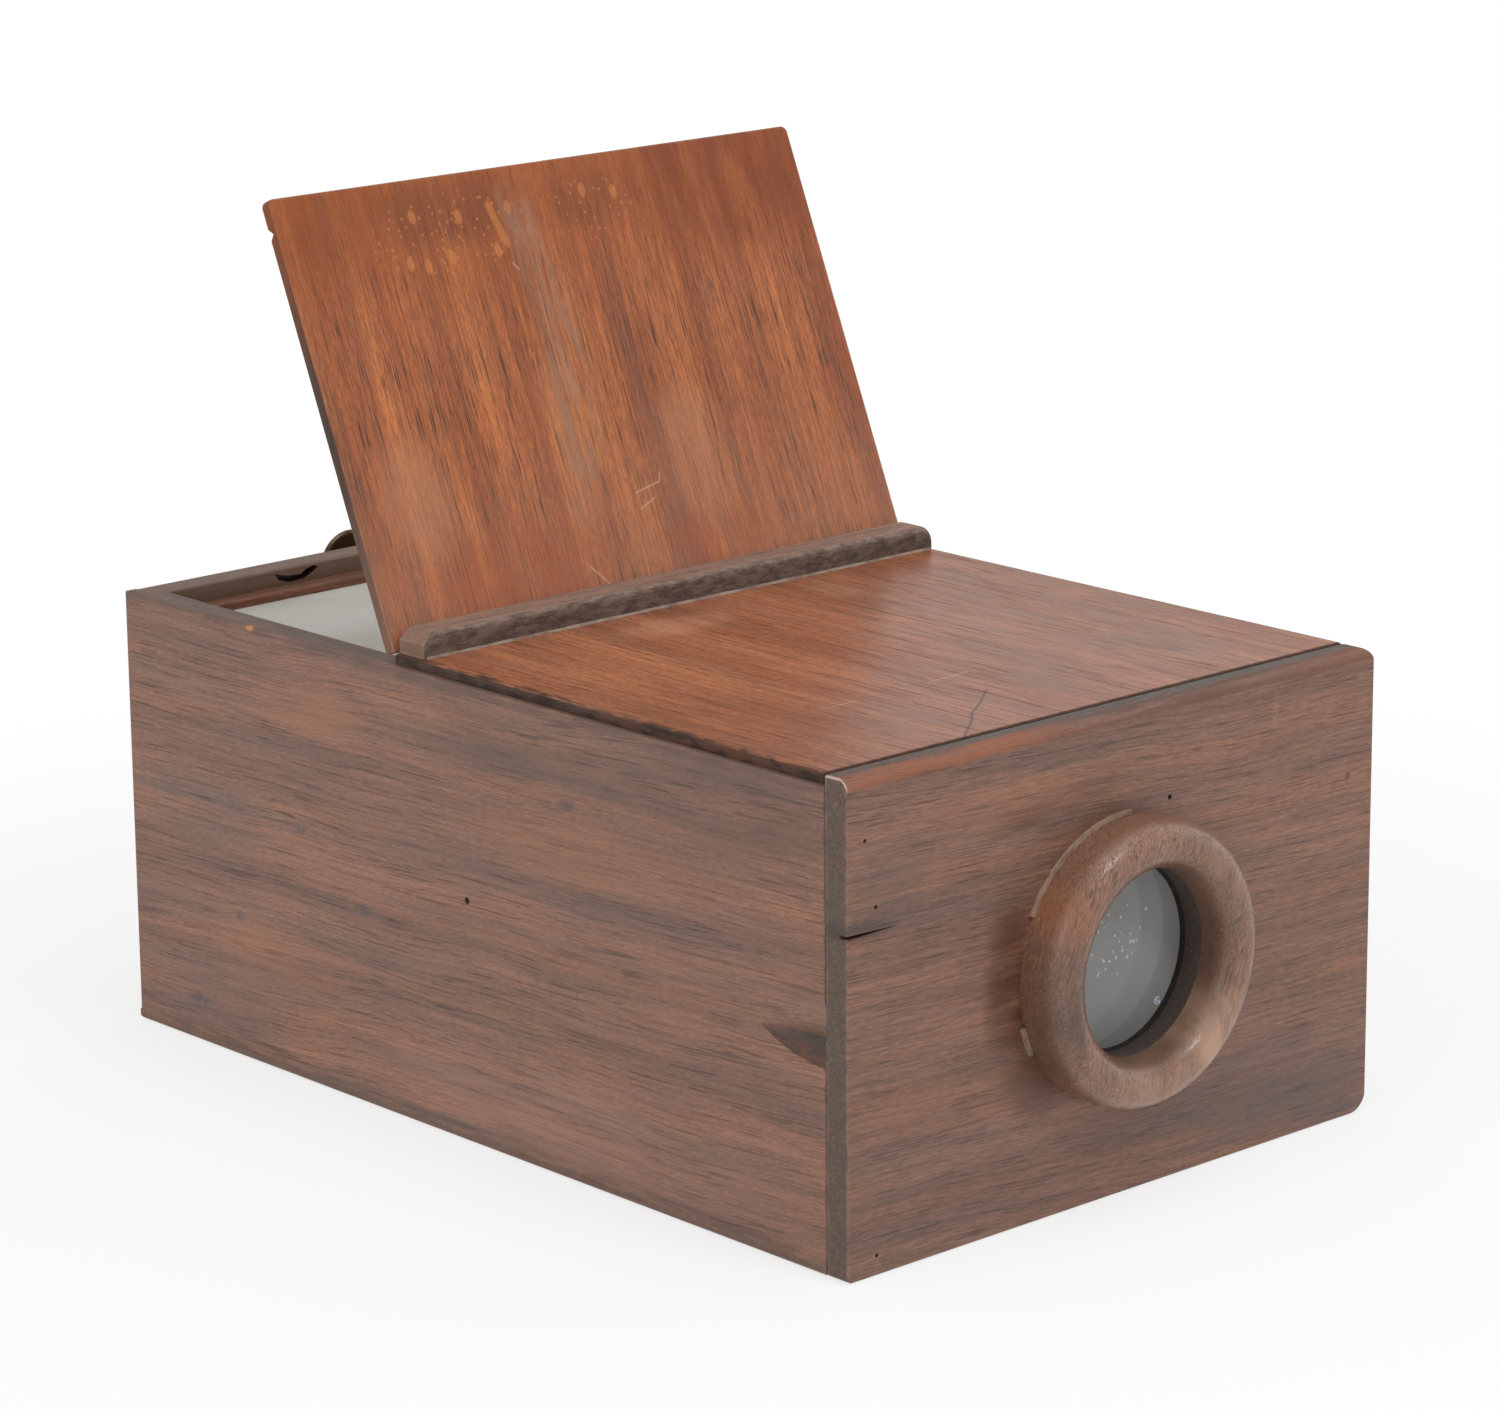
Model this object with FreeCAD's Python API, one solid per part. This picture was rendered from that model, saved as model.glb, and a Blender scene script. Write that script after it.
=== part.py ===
import FreeCAD, Part
import math
import os

# Reflex box camera obscura in mahogany, in millimetres.
# Origin: centre of the case's underside. +X right as seen from the lens side, +Y to the rear, +Z up.
# The lens looks along -Y. The lid is drawn open, as it stands at rest.

# Case
case_width = 190.0
case_length = 283.9
case_height = 124.3
side_thick = 8.0
rear_thick = 8.6
rear_housing = 4.0
bottom_thick = 3.0
deck_thick = 3.0
deck_length = 164.2
deck_setback = 2.0
deck_inset = 2.2
board_ease = 0.9
bottom_ease = 1.3

# Thumb scoops in the front edges of the side walls: each is deepest along a level line from its
# tip to the front edge. A long flank above rolls over into the wall's face, and a short one below
# is slightly hollow
scoop_length = 23.3
scoop_depth = 5.0
scoop_above = 12.5
scoop_below = 6.2
scoop_line_drop = 2.5
scoop_roll = 1.5
scoop_hollow = 0.5
scoop_overrun = 0.03
scoop_stations = (0.01, 0.12, 0.35, 0.65, 1.02)

# Worn catch mortice inside the rear wall
mortice_x = -41.5
mortice_width = 15.5
mortice_height = 3.6
mortice_depth = 2.6
mortice_top_drop = 0.9

# Lid stop strip on the deck
strip_left_inset = 3.0
strip_right_inset = 1.4
strip_width = 9.9
strip_height = 6.8
strip_setback = 0.8
strip_front_round = 2.0
strip_rear_round = 1.0
strip_end_round = 5.2
strip_end_chamfer = 3.2

# Lid
lid_thick = 3.4
lid_overhang = 8.1
lid_seat_gap = 0.2
lid_foot_gap = 0.25
lid_open_angle = 67.0
lid_corner = 2.0
lid_groove_inset = 9.1
lid_groove_width = 3.2
lid_groove_depth = 1.7

# Lid hinges
seam_half = 1.6
axis_drop = 0.6
knuckle_radius = 1.3
hinge_pin_radius = 0.5
pin_clearance = 0.05
knuckle_gap = 0.3
leaf_thick = 0.8
leaf_glass_gap = 0.6
lid_leaf_reach = 9.5
hinge_length = 30.0
hinge_inset = 36.8
hinge_screw_radius = 0.8
hinge_screw_head_radius = 1.6
hinge_screw_head = 0.6
rail_screw_length = 7.0
lid_screw_length = 3.0
hinge_screw_inset = 5.5

# Ground-glass screen in its well
glass_drop = 7.7
glass_thick = 2.5
glass_play = 0.5
ledge_width = 6.0
ledge_height = 5.0
bead_width = 4.8
bead_height = 2.6
bead_round = 1.2
rail_width = 10.0
rail_lip = 6.5
rail_groove_depth = 4.0
rail_groove_play = 0.2

# Mirror at forty-five degrees
mirror_angle = 45.0
mirror_thick = 2.5
mirror_board_thick = 5.0
mirror_side_margin = 4.0
mirror_end_margin = 4.0
mirror_board_play = 0.5
batten_width = 8.0
batten_depth = 8.0
batten_end_margin = 6.0
keeper_width = 6.0
keeper_height = 4.0

# Rear knob
knob_drop = 11.4
knob_head_radius = 10.5
knob_head_standoff = 19.2
knob_rim_thick = 2.2
knob_dome = 2.4
knob_neck_radius = 3.4
knob_foot_radius = 5.2
knob_shank_radius = 2.0
knob_shank_length = 6.0
rose_radius = 8.5
rose_thick = 1.6

# Sliding front: panel and inner box
panel_gap = 0.4
panel_thick = 7.3
panel_lift = 0.2
panel_rise = 0.3
panel_top_left_round = 0.6
panel_top_right_round = 5.0
panel_low_left_round = 1.2
panel_low_right_round = 6.0
panel_top_round = 3.4
panel_edge_ease = 0.5
slide_side_gap = 0.4
slide_top_gap = 0.4
slide_low_gap = 0.3
drawer_side_thick = 5.0
drawer_top_thick = 4.0
drawer_end_gap = 12.0

# Lens and its turned ring
lens_offset = 1.5
lens_drop = 1.2
ring_radius = 37.4
ring_bore_radius = 25.0
ring_height = 13.8
ring_spigot_radius = 30.0
ring_spigot = 2.5
ring_flange_width = 1.5
ring_flange_thick = 0.9
flange_long_arc = (88.0, 152.0)
flange_short_arc = (196.0, 208.0)
lens_radius = 27.0
lens_edge_thick = 2.5
lens_index = 1.523
cell_lip_radius = 24.6
cell_lip = 1.5
cell_play = 0.05
cell_flange_radius = 36.0
cell_flange = 2.0
retainer_bore_radius = 24.0
cell_screw_count = 4
cell_screw_circle = 33.2
cell_screw_radius = 0.8
cell_screw_head_radius = 1.7
cell_screw_head = 0.9
cell_screw_length = 4.5

# Brads
brad_radius = 0.4
brad_head_radius = 0.55
brad_head = 0.7
brad_length = 14.0
brad_sink = 0.8
bottom_brad_count = 5
bottom_brad_end = 24.0
panel_brad_inset = 1.3
panel_brad_rise = 1.9
panel_brad_drop = 29.7

# Old nail holes and a split that the boards have kept
nail_hole_radius = 0.7
nail_hole_depth = 4.0
front_hole_offset = 16.0
front_hole_rise = 39.0
corner_hole_radius = 0.5
corner_hole_inset = 6.1
corner_hole_drop = 16.1
wall_hole_back = 136.2
wall_hole_rise = 4.5
wall_hole_radius = 1.0
split_length = 18.0
split_width = 1.1
split_depth = 2.5
split_rise = 25.5

# Planes that the pieces share
half_width = case_width / 2
deck_half = half_width - deck_inset
inner_half = half_width - side_thick
front_y = -case_length / 2
rear_y = case_length / 2
rear_inner_y = rear_y - rear_thick
deck_front_y = front_y + deck_setback
deck_rear_y = deck_front_y + deck_length
deck_top_z = case_height + deck_thick
axis_y = deck_rear_y + seam_half
axis_z = deck_top_z - axis_drop
lid_front_y = axis_y + seam_half
lid_rear_y = rear_y + lid_overhang
lid_foot_y = axis_y + lid_foot_gap
lid_under_z = case_height + lid_seat_gap
glass_top_z = case_height - glass_drop
glass_under_z = glass_top_z - glass_thick
ledge_under_z = glass_under_z - ledge_height
rail_front_y = deck_rear_y - rail_width
rail_under_z = glass_under_z - rail_lip
panel_back_y = front_y - panel_gap
panel_front_y = panel_back_y - panel_thick
panel_top_z = deck_top_z + panel_rise
lens_z = (panel_lift + panel_top_z) / 2 - lens_drop
scoop_line_z = case_height / 2 - scoop_line_drop
drawer_half = inner_half - slide_side_gap
drawer_low_z = bottom_thick + slide_low_gap
drawer_top_z = case_height - slide_top_gap
screen_mid_y = (deck_rear_y + rear_inner_y - bead_width) / 2

# Mirror ends, measured along its slope from where the lens axis meets it
slope = math.radians(mirror_angle)
mirror_low = (bottom_thick + mirror_end_margin - lens_z + mirror_thick * math.cos(slope)) / math.sin(slope)
mirror_high_by_ledge = (ledge_under_z - mirror_end_margin - lens_z) / math.sin(slope)
mirror_reach_y = rear_inner_y - mirror_end_margin - screen_mid_y - mirror_thick * math.sin(slope)
mirror_high = min(mirror_high_by_ledge, mirror_reach_y / math.cos(slope))
toe_rise = (keeper_height - mirror_thick) * math.sin(slope)
toe_front_y = screen_mid_y + (mirror_low - keeper_width) * math.cos(slope) - toe_rise
drawer_rear_y = min(toe_front_y, rail_front_y) - drawer_end_gap

# The lens focuses far objects on the screen's underside when the front is pushed home
lens_mid_y = panel_front_y + ring_spigot + cell_lip + lens_edge_thick / 2
focal_length = (screen_mid_y - lens_mid_y) + (glass_under_z - lens_z)
lens_curve_radius = (lens_index - 1) * focal_length

X = FreeCAD.Vector(1, 0, 0)
Y = FreeCAD.Vector(0, 1, 0)
Z = FreeCAD.Vector(0, 0, 1)
ORIGIN = FreeCAD.Vector(0, 0, 0)


def board(x_range, y_range, z_range):
    """Plain rectangular board between the given limits."""
    corner = FreeCAD.Vector(x_range[0], y_range[0], z_range[0])
    return Part.makeBox(x_range[1] - x_range[0], y_range[1] - y_range[0], z_range[1] - z_range[0], corner)


def prism_along_x(outline, x_range):
    """Straight-sided outline of (y, z) points carried along X."""
    points = [FreeCAD.Vector(x_range[0], y, z) for y, z in outline]
    face = Part.Face(Part.makePolygon(points + points[:1]))
    return face.extrude(X * (x_range[1] - x_range[0]))


def rod(start, direction, radius, length):
    return Part.makeCylinder(radius, length, start, direction)


def ease(shape, radius, chosen):
    """Round the edges that the test picks, by their middle point and direction."""
    edges = []
    for edge in shape.Edges:
        middle = edge.CenterOfMass
        line = edge.Vertexes[-1].Point - edge.Vertexes[0].Point
        if line.Length > 1e-6 and chosen(middle, line.normalize()):
            edges.append(edge)
    return shape.makeFillet(radius, edges)


def near(value, target):
    return abs(value - target) < 1e-4


def along(line, axis):
    return abs(line.dot(axis)) > 0.999


def mirrored(shape):
    """The same piece on the other side of the case."""
    return shape.mirror(ORIGIN, X)


def turned(outline):
    """Solid of revolution about Z from (radius, height) points; a middle point marks an arc."""
    edges = []
    for start, middle, end in outline:
        first = FreeCAD.Vector(start[0], 0, start[1])
        last = FreeCAD.Vector(end[0], 0, end[1])
        if middle is None:
            edges.append(Part.LineSegment(first, last).toShape())
        else:
            bulge = FreeCAD.Vector(middle[0], 0, middle[1])
            edges.append(Part.Arc(first, bulge, last).toShape())
    return Part.Face(Part.Wire(edges)).revolve(ORIGIN, Z, 360)


def straight_outline(points):
    """Outline of straight runs through the points, closed, for turned()."""
    return [(points[i], None, points[(i + 1) % len(points)]) for i in range(len(points))]


def sag(curve_radius, radius):
    """How far a sphere's cap falls away at a distance from its axis."""
    return curve_radius - math.sqrt(curve_radius ** 2 - radius ** 2)


def on_lens_axis(shape):
    """From a turning about Z to the lens axis: Z leaves the panel's face, Y points up."""
    shape.rotate(ORIGIN, X, 90)
    shape.translate(FreeCAD.Vector(lens_offset, panel_front_y, lens_z))
    return shape


def on_slope(shape):
    """From a flat lay to the mirror's slope: Y runs up the slope, Z leaves the mirror's face."""
    shape.rotate(ORIGIN, X, mirror_angle)
    shape.translate(FreeCAD.Vector(0, screen_mid_y, lens_z))
    return shape


def chamber():
    """Free space of the dark chamber behind the sliding front."""
    return board((-inner_half, inner_half), (front_y, rear_inner_y), (bottom_thick, ledge_under_z))


# Case boards

def bottom_board():
    shape = board((-half_width, half_width), (front_y, rear_y), (0, bottom_thick))
    shape = ease(shape, min(bottom_ease, bottom_thick * 0.45), lambda p, d: near(p.z, 0))
    return shape.cut(bottom_brads())


def scoop_section(share):
    """Outline of the hollow at a share of the way from its tip to the wall's front edge."""
    swell = 1 - (1 - share) ** 2
    y = front_y + scoop_length * (1 - share)

    def point(deep, up):
        return FreeCAD.Vector(-half_width + deep * swell, y, scoop_line_z + up * swell)

    deepest = point(scoop_depth, 0)
    past_face = -scoop_depth * scoop_overrun
    brow = point(past_face, scoop_above * (1 + scoop_overrun))
    lip = point(past_face, -scoop_below * (1 + scoop_overrun))
    upper = Part.Arc(brow, point(scoop_roll, scoop_above / 2), deepest).toShape()
    lower = Part.Arc(deepest, point(scoop_depth / 2 + scoop_hollow, -scoop_below / 2), lip).toShape()
    back = Part.LineSegment(lip, brow).toShape()
    return Part.Wire([upper, lower, back])


def scoop_cutter():
    """Gouged hollow that swells from its tip on the outer face to the wall's front edge."""
    return Part.makeLoft([scoop_section(share) for share in scoop_stations], True)


def left_side_wall():
    shape = board((-half_width, -inner_half), (front_y, rear_y), (bottom_thick, case_height))
    shape = ease(shape, board_ease, lambda p, d: near(p.x, -half_width) and not near(p.z, bottom_thick))
    housing = board((-inner_half - rear_housing, -inner_half), (rear_inner_y, rear_y), (0, deck_top_z))
    shape = shape.cut(housing).cut(scoop_cutter())
    return shape.cut(bottom_brads())


def old_wall_hole():
    start = FreeCAD.Vector(-half_width, front_y + wall_hole_back, case_height / 2 + wall_hole_rise)
    return rod(start, X, wall_hole_radius, nail_hole_depth)


def right_side_wall():
    return mirrored(left_side_wall())


def mortice_cutter():
    """Ragged pocket left where a catch was let into the wall."""
    top = case_height - mortice_top_drop
    low = top - mortice_height
    left = mortice_x - mortice_width / 2
    right = mortice_x + mortice_width / 2
    outline = [
        (left, top - mortice_height * 0.1),
        (left + mortice_width * 0.08, low + mortice_height * 0.35),
        (left + mortice_width * 0.35, low),
        (left + mortice_width * 0.7, low + mortice_height * 0.1),
        (right - mortice_width * 0.15, low + mortice_height * 0.4),
        (right, top - mortice_height * 0.2),
        (right - mortice_width * 0.1, top),
        (left + mortice_width * 0.72, top - mortice_height * 0.15),
        (left + mortice_width * 0.6, top - mortice_height * 0.5),
        (left + mortice_width * 0.25, top - mortice_height * 0.4),
    ]
    points = [FreeCAD.Vector(x, rear_inner_y, z) for x, z in outline]
    face = Part.Face(Part.makePolygon(points + points[:1]))
    return face.extrude(Y * mortice_depth)


def rear_wall():
    end = inner_half + rear_housing
    shape = board((-end, end), (rear_inner_y, rear_y), (bottom_thick, case_height))
    shape = ease(shape, board_ease, lambda p, d: near(p.z, case_height) and along(d, X))
    shape = shape.cut(mortice_cutter())
    return shape.cut(knob_shank())


def top_deck():
    shape = board((-deck_half, deck_half), (deck_front_y, deck_rear_y), (case_height, deck_top_z))
    return ease(shape, min(board_ease, deck_thick * 0.4), lambda p, d: near(p.z, deck_top_z))


def lid_stop_strip():
    rear = deck_rear_y - strip_setback
    front = rear - strip_width
    left = strip_left_inset - half_width
    right = half_width - strip_right_inset
    top = deck_top_z + strip_height
    shape = board((left, right), (front, rear), (deck_top_z, top))
    end_round = min(strip_end_round, strip_height * 0.9)
    shape = ease(shape, end_round, lambda p, d: near(p.x, right) and near(p.z, top))
    chamfered = [e for e in shape.Edges if near(e.CenterOfMass.x, left) and near(e.CenterOfMass.z, top)]
    shape = shape.makeChamfer(strip_end_chamfer, chamfered)
    shape = ease(shape, strip_front_round, lambda p, d: near(p.y, front) and near(p.z, top))
    return ease(shape, strip_rear_round, lambda p, d: near(p.y, rear) and near(p.z, top) and along(d, X))


def hinge_rail():
    shape = board((-inner_half, inner_half), (rail_front_y, deck_rear_y), (rail_under_z, case_height))
    groove_y = (deck_rear_y - rail_groove_depth, deck_rear_y)
    groove = board((-inner_half, inner_half), groove_y, (glass_under_z, glass_top_z + rail_groove_play))
    return shape.cut(groove).cut(rail_hinge_screws())


# Ground-glass screen and what holds it

def left_glass_ledge():
    x_range = (-inner_half, -inner_half + ledge_width)
    return board(x_range, (deck_rear_y, rear_inner_y), (ledge_under_z, glass_under_z))


def right_glass_ledge():
    return mirrored(left_glass_ledge())


def rear_glass_ledge():
    end = inner_half - ledge_width
    return board((-end, end), (rear_inner_y - ledge_width, rear_inner_y), (ledge_under_z, glass_under_z))


def ground_glass():
    side = inner_half - glass_play
    y_range = (deck_rear_y - rail_groove_depth + glass_play, rear_inner_y - glass_play)
    return board((-side, side), y_range, (glass_under_z, glass_top_z))


def rear_bead():
    front = rear_inner_y - bead_width
    top = glass_top_z + bead_height
    shape = board((-inner_half, inner_half), (front, rear_inner_y), (glass_top_z, top))
    return ease(shape, bead_round, lambda p, d: near(p.y, front) and near(p.z, top))


def left_bead():
    inside = -inner_half + bead_width
    top = glass_top_z + bead_height
    y_range = (deck_rear_y + leaf_thick, rear_inner_y - bead_width)
    shape = board((-inner_half, inside), y_range, (glass_top_z, top))
    return ease(shape, bead_round, lambda p, d: near(p.x, inside) and near(p.z, top))


def right_bead():
    return mirrored(left_bead())


# Mirror, its board and keepers

def mirror_glass():
    side = inner_half - mirror_side_margin
    return on_slope(board((-side, side), (mirror_low, mirror_high), (-mirror_thick, 0)))


def mirror_board():
    side = inner_half - mirror_board_play
    back = -mirror_thick - mirror_board_thick
    slab = on_slope(board((-side, side), (-case_length, case_length), (back, -mirror_thick)))
    return slab.common(chamber())


def mirror_keeper(y_range):
    side = inner_half - mirror_side_margin
    strip = on_slope(board((-side, side), y_range, (-mirror_thick, keeper_height - mirror_thick)))
    return strip.common(chamber())


def mirror_toe_strip():
    return mirror_keeper((mirror_low - keeper_width, mirror_low))


def mirror_head_strip():
    return mirror_keeper((mirror_high, mirror_high + keeper_width))


def left_mirror_batten():
    top = -mirror_thick - mirror_board_thick
    y_range = (mirror_low + batten_end_margin + batten_depth, mirror_high - batten_end_margin)
    strip = board((-inner_half, -inner_half + batten_width), y_range, (top - batten_depth, top))
    return on_slope(strip)


def right_mirror_batten():
    return mirrored(left_mirror_batten())


# Rear knob

def on_knob_axis(shape):
    """From a turning about Z to the knob's axis: Z leaves the rear wall's outer face."""
    shape.rotate(ORIGIN, X, -90)
    shape.translate(FreeCAD.Vector(0, rear_y, case_height - knob_drop))
    return shape


def knob_shank():
    start = FreeCAD.Vector(0, 0, -knob_shank_length)
    return on_knob_axis(rod(start, Z, knob_shank_radius, knob_shank_length + rose_thick))


def rear_knob():
    rim_middle = knob_head_standoff + knob_rim_thick / 2
    rim_back = knob_head_standoff + knob_rim_thick
    crown = rim_back + knob_dome
    edge_radius = knob_head_radius - knob_rim_thick / 2
    neck_middle = (rose_thick + knob_head_standoff) / 2
    half_radius = edge_radius / 2
    dome_curve = (edge_radius ** 2 + knob_dome ** 2) / (2 * knob_dome)
    outline = [
        ((0, -knob_shank_length), None, (knob_shank_radius, -knob_shank_length)),
        ((knob_shank_radius, -knob_shank_length), None, (knob_shank_radius, rose_thick)),
        ((knob_shank_radius, rose_thick), None, (knob_foot_radius, rose_thick)),
        (
            (knob_foot_radius, rose_thick),
            (knob_neck_radius, neck_middle),
            (knob_foot_radius, knob_head_standoff),
        ),
        ((knob_foot_radius, knob_head_standoff), None, (edge_radius, knob_head_standoff)),
        ((edge_radius, knob_head_standoff), (knob_head_radius, rim_middle), (edge_radius, rim_back)),
        ((edge_radius, rim_back), (half_radius, crown - sag(dome_curve, half_radius)), (0, crown)),
        ((0, crown), None, (0, -knob_shank_length)),
    ]
    return on_knob_axis(turned(outline))


def knob_rose():
    shape = rod(ORIGIN, Z, rose_radius, rose_thick)
    top_edge = [e for e in shape.Edges if near(e.CenterOfMass.z, rose_thick)]
    shape = shape.makeFillet(rose_thick * 0.45, top_edge)
    return on_knob_axis(shape).cut(knob_shank())


# Lid and its hinges, drawn shut and then opened

def opened(shape):
    shape.rotate(FreeCAD.Vector(0, axis_y, axis_z), X, lid_open_angle)
    return shape


def hinge_centres():
    reach = deck_half - hinge_inset
    return (-reach, reach)


def knuckle_spans(centre):
    """X limits of the three knuckles: fixed, moving, fixed."""
    start = centre - hinge_length / 2
    width = (hinge_length - 2 * knuckle_gap) / 3
    step = width + knuckle_gap
    return [(start + i * step, start + i * step + width) for i in range(3)]


def knuckle(span, bore_radius):
    start = FreeCAD.Vector(span[0], axis_y, axis_z)
    width = span[1] - span[0]
    return rod(start, X, knuckle_radius, width).cut(rod(start, X, bore_radius, width))


def notch(span):
    """Room in a leaf for the other leaf's knuckle."""
    room = knuckle_radius + knuckle_gap
    x_range = (span[0] - knuckle_gap, span[1] + knuckle_gap)
    return board(x_range, (axis_y - 2 * seam_half, axis_y + 2 * seam_half), (axis_z - room, axis_z + room))


def pin_room(centre, radius):
    start = FreeCAD.Vector(centre - hinge_length / 2, axis_y, axis_z)
    return rod(start, X, radius, hinge_length)


def fixed_leaf(centre):
    left, middle, right = knuckle_spans(centre)
    x_range = (left[0], right[1])
    plate = board(x_range, (deck_rear_y, deck_rear_y + leaf_thick), (glass_top_z + leaf_glass_gap, axis_z))
    plate = plate.cut(notch(middle)).cut(pin_room(centre, hinge_pin_radius))
    shape = plate.fuse([knuckle(left, hinge_pin_radius), knuckle(right, hinge_pin_radius)])
    return shape.removeSplitter().cut(rail_hinge_screws())


def lid_leaf(centre):
    left, middle, right = knuckle_spans(centre)
    x_range = (left[0], right[1])
    under = (lid_under_z - leaf_thick, lid_under_z)
    upright = board(x_range, (lid_front_y - leaf_thick, lid_front_y), (under[0], axis_z))
    flat = board(x_range, (lid_front_y - leaf_thick, lid_front_y + lid_leaf_reach), under)
    plate = upright.fuse(flat).cut(notch(left)).cut(notch(right))
    bore_radius = hinge_pin_radius + pin_clearance
    shape = plate.cut(pin_room(centre, bore_radius)).fuse(knuckle(middle, bore_radius))
    return opened(shape.removeSplitter().cut(closed_lid_screws()))


def hinge_pin(centre):
    return pin_room(centre, hinge_pin_radius)


def countersunk_screw(face_point, direction, length):
    """Screw whose flat head lies level with the leaf; direction points into the wood."""
    head_radii = (hinge_screw_head_radius, hinge_screw_radius)
    head = Part.makeCone(*head_radii, hinge_screw_head, face_point, direction)
    return head.fuse(rod(face_point, direction, hinge_screw_radius, length)).removeSplitter()


def hinge_screw_columns():
    inset = hinge_length / 2 - hinge_screw_inset
    return [centre + side * inset for centre in hinge_centres() for side in (-1, 1)]


def rail_hinge_screws():
    height = (glass_top_z + leaf_glass_gap + axis_z - knuckle_radius) / 2
    y = deck_rear_y + leaf_thick
    points = [FreeCAD.Vector(x, y, height) for x in hinge_screw_columns()]
    return Part.makeCompound([countersunk_screw(point, -Y, rail_screw_length) for point in points])


def closed_lid_screws():
    y = lid_front_y + lid_leaf_reach / 2
    points = [FreeCAD.Vector(x, y, lid_under_z - leaf_thick) for x in hinge_screw_columns()]
    return Part.makeCompound([countersunk_screw(point, Z, lid_screw_length) for point in points])


def lid_hinge_screws():
    return opened(closed_lid_screws())


def lid_hinge_room(centre, top):
    """Notch in the lid's foot for a hinge's knuckles and upright leaf."""
    reach = hinge_length / 2 + knuckle_gap
    return board((centre - reach, centre + reach), (lid_foot_y, lid_front_y), (lid_under_z, top))


def lid_board():
    """As wide as the deck, with a worn groove across its underside near the free end."""
    top = lid_under_z + lid_thick
    shape = board((-deck_half, deck_half), (lid_foot_y, lid_rear_y), (lid_under_z, top))
    shape = ease(shape, lid_corner, lambda p, d: along(d, Z) and near(p.y, lid_rear_y))
    faces_ease = min(board_ease, lid_thick * 0.4)
    shape = ease(shape, faces_ease, lambda p, d: near(p.z, top) and near(p.y, lid_rear_y))
    middle = lid_rear_y - lid_groove_inset
    groove = prism_along_x(
        [
            (middle - lid_groove_width / 2, lid_under_z),
            (middle, lid_under_z + lid_groove_depth),
            (middle + lid_groove_width / 2, lid_under_z),
        ],
        (-deck_half, deck_half),
    )
    rooms = [lid_hinge_room(centre, top) for centre in hinge_centres()]
    return opened(shape.cut(rooms).cut(groove).cut(closed_lid_screws()))


# Sliding front

def panel_blank():
    """Board with unevenly worn corners, a rounded top edge towards the front and eased front uprights."""
    blank = board((-half_width, half_width), (panel_front_y, panel_back_y), (panel_lift, panel_top_z))
    shape = blank
    corners = (
        (-half_width, panel_top_z, panel_top_left_round),
        (half_width, panel_top_z, panel_top_right_round),
        (-half_width, panel_lift, panel_low_left_round),
        (half_width, panel_lift, panel_low_right_round),
    )
    for x, z, radius in corners:
        shape = ease(shape, radius, lambda p, d: along(d, Y) and near(p.x, x) and near(p.z, z))
    front_top = ease(blank, panel_top_round, lambda p, d: along(d, X) and on_panel_brow(p))
    front_sides = ease(blank, panel_edge_ease, lambda p, d: along(d, Z) and near(p.y, panel_front_y))
    return shape.common(front_top).common(front_sides)


def on_panel_brow(point):
    return near(point.y, panel_front_y) and near(point.z, panel_top_z)


def front_panel():
    hole = on_lens_axis(rod(FreeCAD.Vector(0, 0, -panel_thick), Z, ring_spigot_radius, panel_thick))
    shape = panel_blank().cut([hole, old_front_hole(), old_corner_hole(), panel_split()])
    return shape.cut([front_panel_brads(), panel_brad_punches(), lens_cell_screws()])


def old_front_hole():
    start = FreeCAD.Vector(lens_offset + front_hole_offset, panel_front_y, lens_z + front_hole_rise)
    return rod(start, Y, nail_hole_radius, nail_hole_depth)


def old_corner_hole():
    start = FreeCAD.Vector(corner_hole_inset - half_width, panel_front_y, panel_top_z - corner_hole_drop)
    return rod(start, Y, corner_hole_radius, nail_hole_depth)


def panel_split():
    """Split along the grain, open at the panel's left edge and closed at its tip."""
    z = lens_z + split_rise
    outline = [
        (-half_width, z - split_width / 2),
        (-half_width + split_length, z),
        (-half_width, z + split_width / 2),
    ]
    points = [FreeCAD.Vector(x, panel_front_y, z) for x, z in outline]
    face = Part.Face(Part.makePolygon(points + points[:1]))
    return face.extrude(Y * split_depth)


def drawer_left_side():
    x_range = (-drawer_half, -drawer_half + drawer_side_thick)
    shape = board(x_range, (panel_back_y, drawer_rear_y), (drawer_low_z, drawer_top_z))
    return shape.cut(front_panel_brads())


def drawer_right_side():
    return mirrored(drawer_left_side())


def drawer_cross_board(z_range):
    end = drawer_half - drawer_side_thick
    return board((-end, end), (panel_back_y, drawer_rear_y), z_range)


def drawer_top():
    return drawer_cross_board((drawer_top_z - drawer_top_thick, drawer_top_z))


def drawer_bottom():
    return drawer_cross_board((drawer_low_z, drawer_low_z + drawer_top_thick))


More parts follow.
